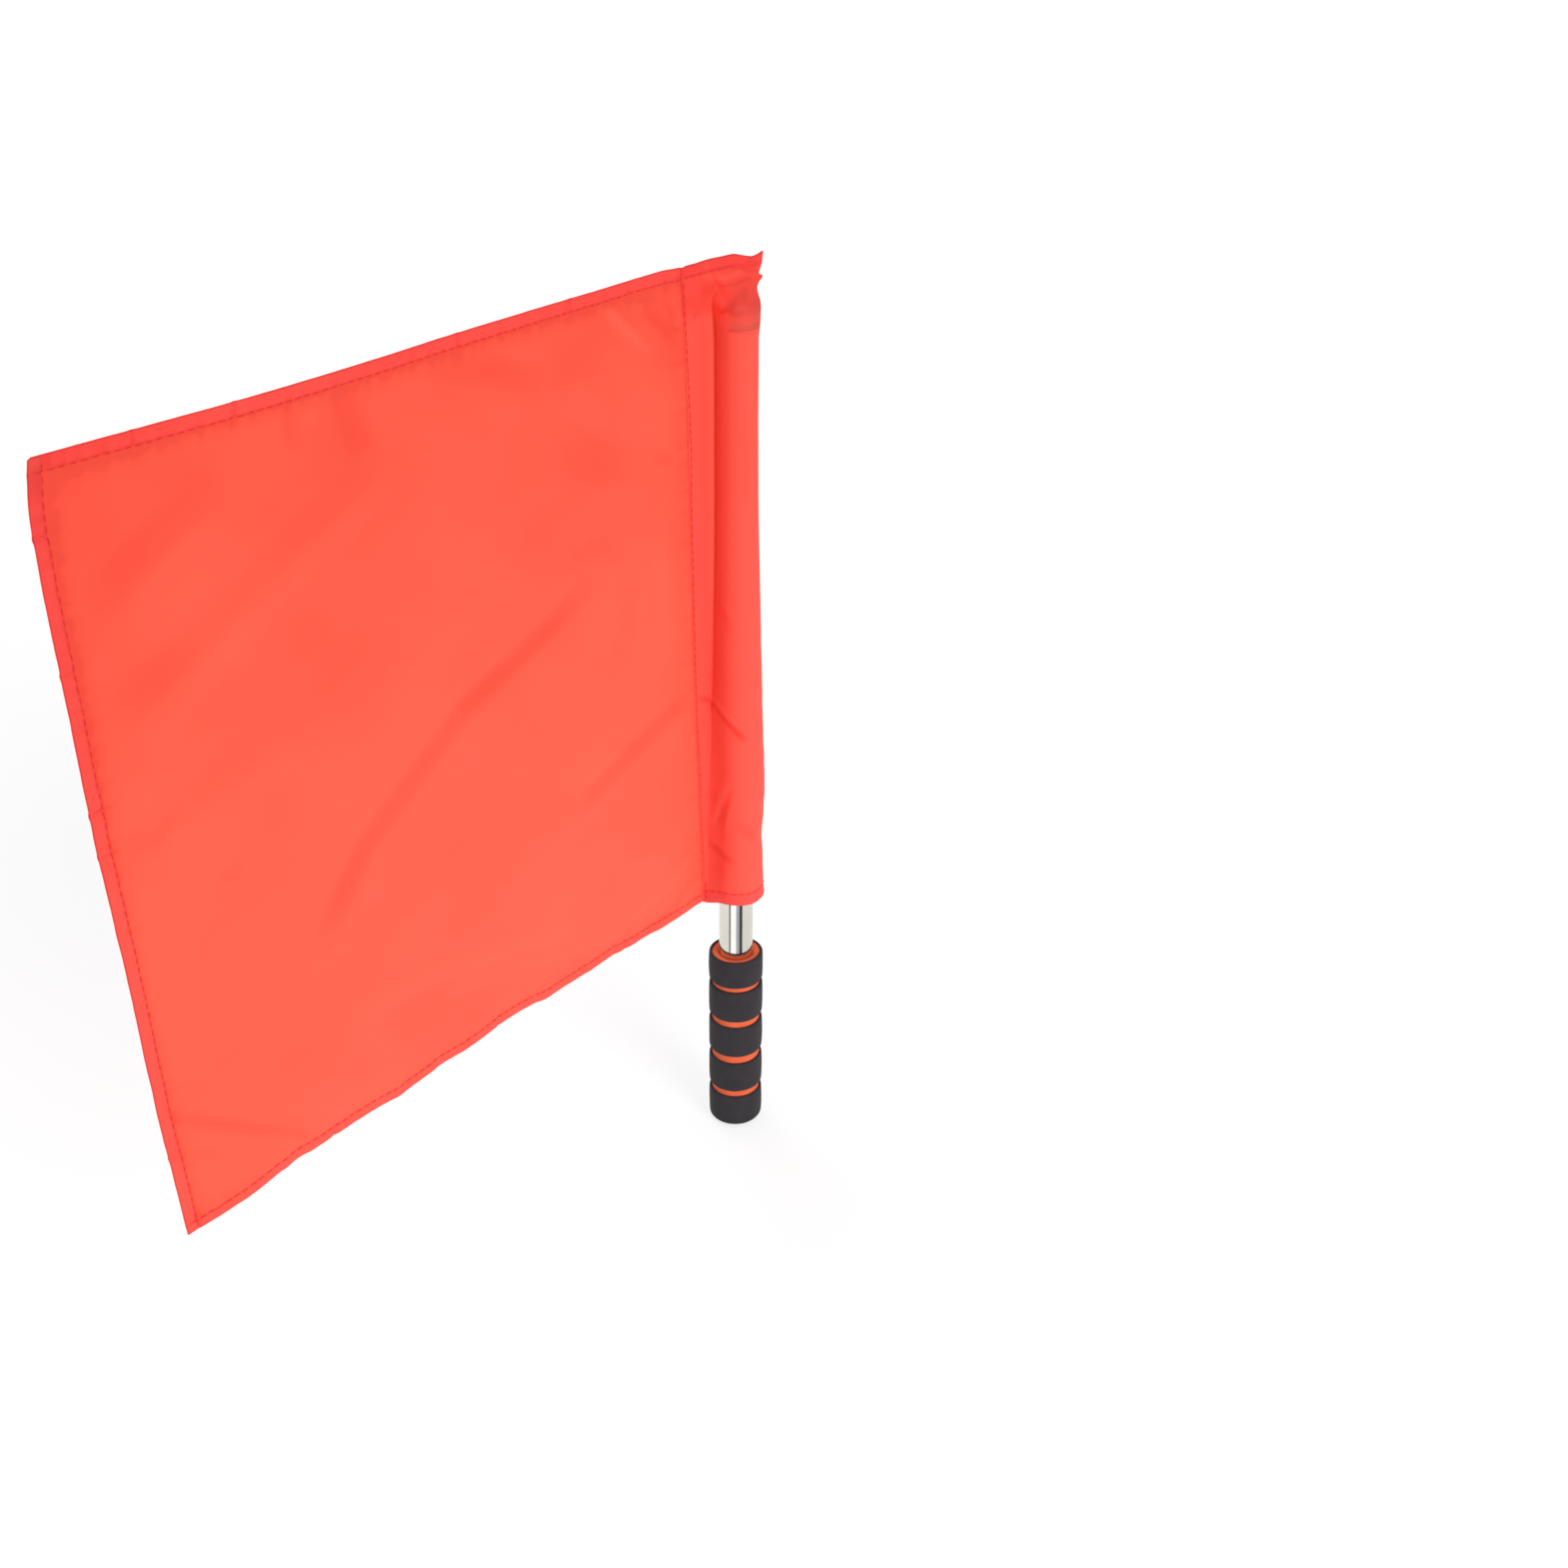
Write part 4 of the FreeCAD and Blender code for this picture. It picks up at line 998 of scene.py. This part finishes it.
def sleeve_outline(level, hug, shares, rises=None, reach=None, lift=0.0):
    """Points of one outline, as rows of x and y in mm. Lift raises the cloth at the fold."""
    back, right, front, left, crease_share, curl, tent, bulge = (*shares, 0.0, 1.3)[:8]
    centre = pole_place(level)
    right_y, front_y, left_y = 0.0, -hug * front, 0.0
    if rises is not None:
        right_y, front_y, left_y = [HUG - rise for rise in rises]
    right_x = centre + (reach if reach is not None else hug * right)
    left_x, fold_x = centre - hug * left, centre - hug * crease_share
    flat = [np.linspace(0, 1, count + 1)[1:] for count in SAMPLES]
    quarter = [np.linspace(0, math.pi / 2, count + 1)[1:] for count in SAMPLES]
    xs, ys = [np.zeros(1)], [np.full(1, PLANE)]
    xs.append(centre * flat[0])
    ys.append(PLANE + (hug * back - PLANE) * flat[0])
    xs.append(centre + (right_x - centre) * np.sin(quarter[1]))
    ys.append(right_y + (hug * back - right_y) * np.cos(quarter[1]))
    xs.append(centre + (right_x - centre) * np.cos(quarter[2]))
    ys.append(right_y + (front_y - right_y) * np.sin(quarter[2]))
    across = 2 * quarter[3] / math.pi
    slope = 0.5 + 0.5 * np.cos(math.pi * across ** bulge)
    xs.append(centre + (left_x - centre) * (np.sin(quarter[3]) * (1 - tent) + across * tent))
    ys.append(left_y + (front_y - left_y) * (np.cos(quarter[3]) * (1 - tent) + slope * tent))
    fold_y = PLANE - STEP - lift
    mid_x = (left_x + fold_x) / 2 - curl * (fold_y - left_y)
    mid_y = (left_y + fold_y) / 2 + curl * (fold_x - left_x)
    t = flat[4]
    for points, first, middle, last in ((xs, left_x, mid_x, fold_x), (ys, left_y, mid_y, fold_y)):
        pull = 2 * middle - (first + last) / 2
        points.append((1 - t) ** 2 * first + 2 * t * (1 - t) * pull + t * t * last)
    edge = min(-0.1, seam_run(level) - LAP)
    xs.append(fold_x * (1 - flat[5]) + edge * flat[5])
    ys.append(PLANE - STEP - lift * (1 - ease(flat[5] / 0.4))
              + 0.36 * ease((flat[5] - 0.93) / 0.07))
    return np.stack([np.concatenate(xs), np.concatenate(ys)], -1)


# %% Heights of the sleeve
LOOSE_LEVELS = (-MOUTH_DROP, 3.0, 15.55, 31.09, 41.46, 55.28, 76.01, 103.65, 131.29, 162.38,
                193.48, 224.58)
LOOSE_SHARES = (
    (1.06, 1.93, 1.30, 1.28, 1.42, -0.02), (1.06, 1.82, 1.25, 1.24, 1.36, -0.02),
    (1.04, 1.74, 1.22, 1.21, 1.33, -0.03), (1.02, 1.68, 1.18, 1.17, 1.29, -0.03),
    (1.01, 1.78, 1.16, 1.15, 1.26, -0.03), (1.00, 1.98, 1.14, 1.13, 1.23, -0.03),
    (1.00, 1.90, 1.10, 1.10, 1.14, -0.01), (1.00, 1.74, 1.07, 1.07, 1.02, 0.02),
    (1.00, 1.60, 1.05, 1.05, 0.86, 0.06), (1.00, 1.45, 1.03, 1.03, 0.74, 0.09),
    (1.00, 1.28, 1.01, 1.01, 0.70, 0.12), (1.00, 1.12, 1.00, 1.00, 0.69, 0.13))
TIGHT = (1.00, 1.00, 1.00, 1.00, 0.68, 0.13)
TIGHT_LIFT = 1.6
CAP_EDGE = (1.00, 1.00, 1.00, 1.00, 0.85, 0.05)
CAP_TOP = (1.00, 1.00, 1.00, 0.98, 0.90, 0.0)
SHOULDER = (1.00, 2.05, 0.10, 0.35, 0.60, 0.0, 1.0, 1.3)
TOP = (1.00, 1.00, 1.00, 1.00, 1.30, 0.0)
outlines = []
for level, shares in zip(LOOSE_LEVELS, LOOSE_SHARES):
    lift = TIGHT_LIFT * float(ease((level - 120) / 100))
    outlines.append((level, sleeve_outline(level, HUG, shares, lift=lift)))
for level, hug, shares, lift in (
        (269.49, HUG, TIGHT, TIGHT_LIFT), (310.93, HUG, TIGHT, TIGHT_LIFT),
        (311.9, CAP_HUG, TIGHT, TIGHT_LIFT), (317.0, CAP_HUG + 0.1, TIGHT, TIGHT_LIFT),
        (322.5, CAP_HUG + 0.3, CAP_EDGE, 0.8), (325.8, CAP_HUG + 0.3, CAP_TOP, 0.4)):
    outlines.append((level, sleeve_outline(level, hug, shares, lift=lift)))
shoulder = sleeve_outline(329.8, HUG, SHOULDER, (0.50 * HUG, 0.62 * HUG, STEP))
outlines.append((329.8, shoulder))
for level in (339.9, HEIGHT):
    outlines.append((level, sleeve_outline(level, HUG, TOP, (STEP,) * 3, CLOSED_REACH)))
known_levels = np.array([level for level, _ in outlines])
known = np.stack([outline for _, outline in outlines])
print("sleeve outlines", known.shape)


# %% Surface of the sleeve
RIGHT_EDGE = ((24, 0.0), (28, -1.2), (31.5, -2.0), (36, -0.8), (41, 0.3), (55, 0.5),
              (70, 0.0), (290, 0.0), (300, -0.4), (318, -0.6), (325, -0.9), (328.2, -0.2),
              (330.6, 6.3), (331.6, 6.2), (333.0, -0.1), (335.3, -0.3), (340, -0.3),
              (346, -0.3))
TOP_EDGE = ((-2, -1.2), (0, -1.2), (6, -0.9), (11.4, -0.6), (14, -0.2), (19.5, 0.2),
            (27, 0.4), (35, 0.8), (41.6, -0.8), (46.3, -1.7), (50, -0.9), (54, 1.2))
MOUTH_EDGE = ((0, -1.0), (50, -1.0), (62, -1.8), (80, -1.8), (94, -0.6), (106, 1.0), (120, 1.2),
              (130, -0.8), (138, -1.9), (150, -1.0), (158, 0.0), (170, 0.3))
TIP_FORWARD, TIP_DROOP = 4.8, 3.3
LEVEL_STEP, PASSES = ((1.15, 6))


def softened(rows, passes):
    """Average each row with its neighbours, keeping the first and last."""
    for _ in range(passes):
        inner = 0.25 * rows[:-2] + 0.5 * rows[1:-1] + 0.25 * rows[2:]
        rows = np.concatenate([rows[:1], inner, rows[-1:]])
    return rows


levels = np.linspace(-MOUTH_DROP, HEIGHT, int((HEIGHT + MOUTH_DROP) / LEVEL_STEP) + 1)
rows = np.apply_along_axis(lambda track: np.interp(levels, known_levels, track), 0, known)
rows = softened(softened(rows, PASSES).swapaxes(0, 1), 1).swapaxes(0, 1)
rest_x, rest_y = rows[..., 0], rows[..., 1]
level_grid = np.repeat(levels[:, None], rest_x.shape[1], axis=1)
spots = np.arange(rest_x.shape[1])
rightward = np.clip((rest_x - pole_place(level_grid)) / CLOSED_REACH, 0, 1)
rest_x = rest_x + along_table(level_grid, RIGHT_EDGE, 0.7) * rightward ** 2
bend = np.interp(level_grid, (330.0, 339.9, HEIGHT), (0.0, 0.85, 1.0))
tip = rest_x / (pole_place(HEIGHT) + CLOSED_REACH)
top_shift = along_table(rest_x, TOP_EDGE, 1.5) * ease((level_grid - 333) / 11.0)
mouth_shift = along_table(spots, MOUTH_EDGE, 5.0) * (
    1 - ease((level_grid + MOUTH_DROP) / 26.0))
sleeve_mid = to_frame(rest_x, rest_y - bend * TIP_FORWARD * tip ** 2,
                      level_grid - bend * TIP_DROOP * tip + top_shift + mouth_shift)
print("sleeve grid", sleeve_mid.shape)

# %% [markdown]
# The sleeve's own creases are placed as they are seen from the front: across along the line
# that the camera sees as level, and up. They press the front of the cloth inwards and are
# painted into its colour as shade, and as light where they are raised. A second list holds
# softer places that are only painted: most as painted shade, one as painted light.

# %% Creases of the sleeve
SLEEVE_CREASES = (
    (((-21.5, 277.0), (-16.6, 273.2), (-9.7, 268.6), (-3.7, 262.5), (0.7, 257.0),
      (5.5, 250.0)), 3.2, -1.3),
    (((-2.5, 226.0), (-8.0, 209.0), (-12.5, 196.0)), 3.4, 0.7),
    (((-1.9, 217.0), (-4.6, 206.0), (-6.5, 195.0)), 2.2, -0.4),
    (((-17.0, 188.5), (-9.1, 184.0), (-4.1, 180.5), (2.5, 175.0)), 4.6, -0.7),
    (((2.0, 203.0), (7.0, 194.0), (11.0, 186.0)), 4.0, -0.5),
    (((-2.6, 475.0), (0.0, 480.7), (4.5, 484.0)), 3.0, -0.6),
    (((-9.0, 486.0), (-1.4, 486.2), (6.0, 487.2)), 1.5, -0.6),
    (((-14.0, 491.0), (-6.0, 489.5), (2.0, 491.0)), 2.0, 0.5),
    (((2.5, 495.5), (5.5, 493.6), (9.4, 491.0)), 2.8, -1.2),
    (((-5.0, 467.8), (3.0, 466.8), (10.5, 465.4)), 1.3, -0.6),
    (((-10, 330), (-4, 322), (0, 310)), 4.0, -0.35),
    (((3, 420), (5, 400), (4, 380)), 3.0, -0.25),
)
SLEEVE_SHADES = (
    (((-12.5, 223.0), (-12.0, 212.0), (-14.0, 198.0), (-15.0, 186.0)), 5.0, -0.5),
    (((-10.0, 180.0), (-8.5, 163.0)), 9.0, -0.4),
    (((-15.0, 186.0), (-8.0, 181.0), (-2.0, 176.0)), 6.5, -0.35),
    (((-9.5, 474.8), (-4.5, 477.5), (-0.5, 481.5)), 2.0, -0.8),
    (((-1.8, 474.5), (1.0, 479.0), (2.8, 482.5)), 5.0, -0.6),
    (((-9.6, 477.5), (-6.5, 482.0)), 4.5, 0.8),
    (((-18.5, 485.5), (-9.0, 485.0)), 6.0, -0.3),
    (((-20.9, 473.8), (-19.2, 476.2)), 1.3, -0.7),
    (((-3.5, 493.8), (2.0, 492.5), (5.6, 491.1), (9.6, 489.8)), 2.8, -1.8),
)
SEEN_ACROSS = (0.6137, -0.7895)
MOUTH_ROW, TOP_ROW = 2.6, 340.2
sleeve_normal = grid_normals(sleeve_mid)
seen_across = (sleeve_mid[..., 0] * SEEN_ACROSS[0] + sleeve_mid[..., 1] * SEEN_ACROSS[1]) / MM
seen_up = sleeve_mid[..., 2] / MM
front_side = ease((spots - 62) / 12.0) * (1 - ease((spots - 160) / 6.0))
press = 0 * seen_up
for path, half, depth in SLEEVE_CREASES:
    press += crease(seen_across, seen_up, path, half, depth)
loose = 1 - ease((level_grid - 40) / 200.0)
press += 0.35 * loose * ripple(level_grid * 0.6 + spots * 0.12, 16) * front_side
sleeve_mid = sleeve_mid + sleeve_normal * (press * front_side * MM)[..., None]
sleeve_normal = grid_normals(sleeve_mid)
print(len(SLEEVE_CREASES), "creases on the sleeve")

# %% Painted shades of the sleeve
# Painted shade and painted light along the sleeve's creases and soft places.
sleeve_painted_shading = 0.5 + 0 * seen_up
for path, half, depth in SLEEVE_CREASES + SLEEVE_SHADES:
    sleeve_painted_shading += 0.5 * front_side * crease_shade(seen_across, seen_up, path, half, depth)
# Painted shade and light of the ripples beside the seam, and painted shade in the needle lines of
# the seam, the mouth and the top.
sleeve_painted_shading += 0.10 * ripple(level_grid, 30, SHORT_WAVES) * ease((spots - 150) / 16.0)
seam_line = needle_line(level_grid, rest_x - seam_run(level_grid))
sleeve_painted_shading -= 0.45 * seam_line * ease((spots - 150) / 10.0)
sleeve_painted_shading -= 0.3 * needle_line(spots * 0.62, level_grid - MOUTH_ROW)
sleeve_painted_shading -= 0.45 * needle_line(rest_x, level_grid - TOP_ROW)
# Painted light along the fold beside the pole, where the groove beneath it lies in shade.
fold = hump((spots - 134) / 11.0) * ease((level_grid - 130) / 50.0)
sleeve_painted_shading += 0.45 * fold * (1 - ease((level_grid - 314) / 6.0))
# Painted shade on the lower flank, and darker towards the closed top.
sleeve_painted_shading -= 0.16 * hump((spots - 122) / 22.0) * (1 - ease((level_grid - 60) / 70.0))
sleeve_painted_shading -= 0.40 * ease((level_grid - 316) / 8.0)
# Painted shade where the cloth lies over the cap.
over_cap = ease((level_grid - 312.3) / 0.7) * (1 - ease((level_grid - 322) / 6.0))
over_cap = over_cap * ease((spots - 64) / 8.0) * (1 - ease((spots - 110) / 10.0))
sleeve_painted_shading = np.clip(floored(sleeve_painted_shading - 0.18 * over_cap, 0.0), 0, 1)
# Painted grey shade of the cap behind the cloth, deepest at its lower rim, and a painted grey
# shade on the flank.
cap_rim = 0.32 + 0.34 * (1 - ease((level_grid - 313) / 5.0))
cap_rim = cap_rim + 0.16 * (1 - ease((spots - 93) / 6.0))
flank = hump((spots - 126) / 18.0) * (1 - ease((level_grid - 312) / 6.0))
sleeve_grey_shade = np.maximum(cap_rim * over_cap, 0.22 * flank)
# Painted deeper red where the cloth lies double, as painted shade, taken back on the fold as
# painted light.
flat_strip = ease((spots - 137) / 4.0)
hem_zone = np.maximum(ease((level_grid - 339.7) / 0.5), ease((3.4 - level_grid) / 0.5))
doubled_shade = np.clip(0.45 + 0.10 * flat_strip + 0.45 * hem_zone - 0.5 * fold, 0, 1)
print("sleeve tone from", round(float(sleeve_painted_shading.min()), 2))

# %% Sleeve
run = np.zeros(rest_x.shape)
run[:, 1:] = np.cumsum(np.hypot(np.diff(rest_x, axis=1), np.diff(rest_y, axis=1)), axis=1)
sleeve = cloth_sheet("cloth_sleeve", "pole_sleeve", "sleeve", sleeve_mid,
                     np.stack([run, level_grid], -1), sleeve_normal,
                     (doubled_shade, sleeve_painted_shading, sleeve_grey_shade))

# %% [markdown]
# The sleeve is turned in at its mouth and turned back at its closed top, and three rows of
# stitches hold it: up the seam, round the mouth and across the top. A few dense stitches
# lock the foot of the seam, where a hand pulls hardest.

# %% Hems of the sleeve
FRONT_SPOT = 90
facing = 1.0 if sleeve_normal[len(levels) // 2, FRONT_SPOT, 1] < 0 else -1.0
hem_behind, hem_beyond = turned_edge([45, 90, 135, 180])


def at_level(level, field):
    """Row of a grid at one height, between its rows."""
    spot = np.interp(level, levels, np.arange(len(levels)))
    low = int(min(spot, len(levels) - 2))
    share = spot - low
    return field[low] * (1 - share) + field[low + 1] * share


def sleeve_hem(name, node, edge, start, end, side, columns, length):
    """Turned edge of the sleeve. Side is 1 for outside and above, -1 for inside and below."""
    hem_levels = np.concatenate([np.full(4, edge), np.linspace(start, end, FLAT_STEPS)])
    strip = []
    for level, behind, beyond in zip(hem_levels, hem_behind, hem_beyond):
        out = side * facing * at_level(level, sleeve_normal)
        row = at_level(level, sleeve_mid) + out * behind * MM
        strip.append((row + np.array([0, 0, side * beyond * MM]))[columns])
    points = np.array(strip)
    uv = np.stack(np.meshgrid(np.linspace(0, length, points.shape[1]), hem_levels), -1)
    cloth_sheet(name, node, "sleeve", points, uv)


sleeve_hem("cloth_mouth_hem", "sleeve_mouth_hem", -MOUTH_DROP, 0.6 - MOUTH_DROP, 3.0, -1,
           slice(22, -26), 90)
sleeve_hem("cloth_sleeve_top_hem", "sleeve_top_hem", HEIGHT, HEIGHT - 0.6, 339.7, 1,
           slice(2, 58), 50)

# %% Stitches of the sleeve
FRONTWARD = [0.0, -1.0, 0.0]
seam_levels = np.arange(8.0, 339.5, 0.8)
seam_places = to_frame(seam_run(seam_levels), PLANE - STEP, seam_levels)
stitch_row("thread_seam", "hoist_seam_thread", "sleeve", seam_places,
           np.tile(FRONTWARD, (len(seam_levels), 1)), STEP + CLOTH / 2)
for name, node, level, columns, depth in (
        ("thread_mouth", "mouth_hem_thread", MOUTH_ROW, slice(20, -4), 0.55),
        ("thread_sleeve_top", "sleeve_top_thread", TOP_ROW, slice(-3, -81, -1), STEP + 0.5)):
    stitch_row(name, node, "sleeve", at_level(level, sleeve_mid)[columns],
               facing * at_level(level, sleeve_normal)[columns], depth)

# %% Bar tack
TACK_PITCH, TACK_RADIUS = 1.9, 0.16
tack_places = []
for number, level in enumerate(np.linspace(-3.6, 7.6, 29)):
    near, far = (0.45, 2.35) if number % 2 else (2.35, 0.45)
    tack_places += [(near, level), (far, level + 0.05)]
tack_x, tack_level = np.array(tack_places).T
tack = stitch_row("thread_bar_tack", "seam_bar_tack", "sleeve",
                  to_frame(tack_x, PLANE - STEP, tack_level),
                  np.tile(FRONTWARD, (len(tack_x), 1)), STEP + CLOTH / 2, TACK_PITCH,
                  TACK_RADIUS)
# Painted shade over the bar tack, between its packed stitches.
tack_shade = tack.data.attributes.new("tack_shade", "FLOAT", "POINT")
tack_shade.data.foreach_set("value", np.ones(len(tack.data.vertices), np.float32))
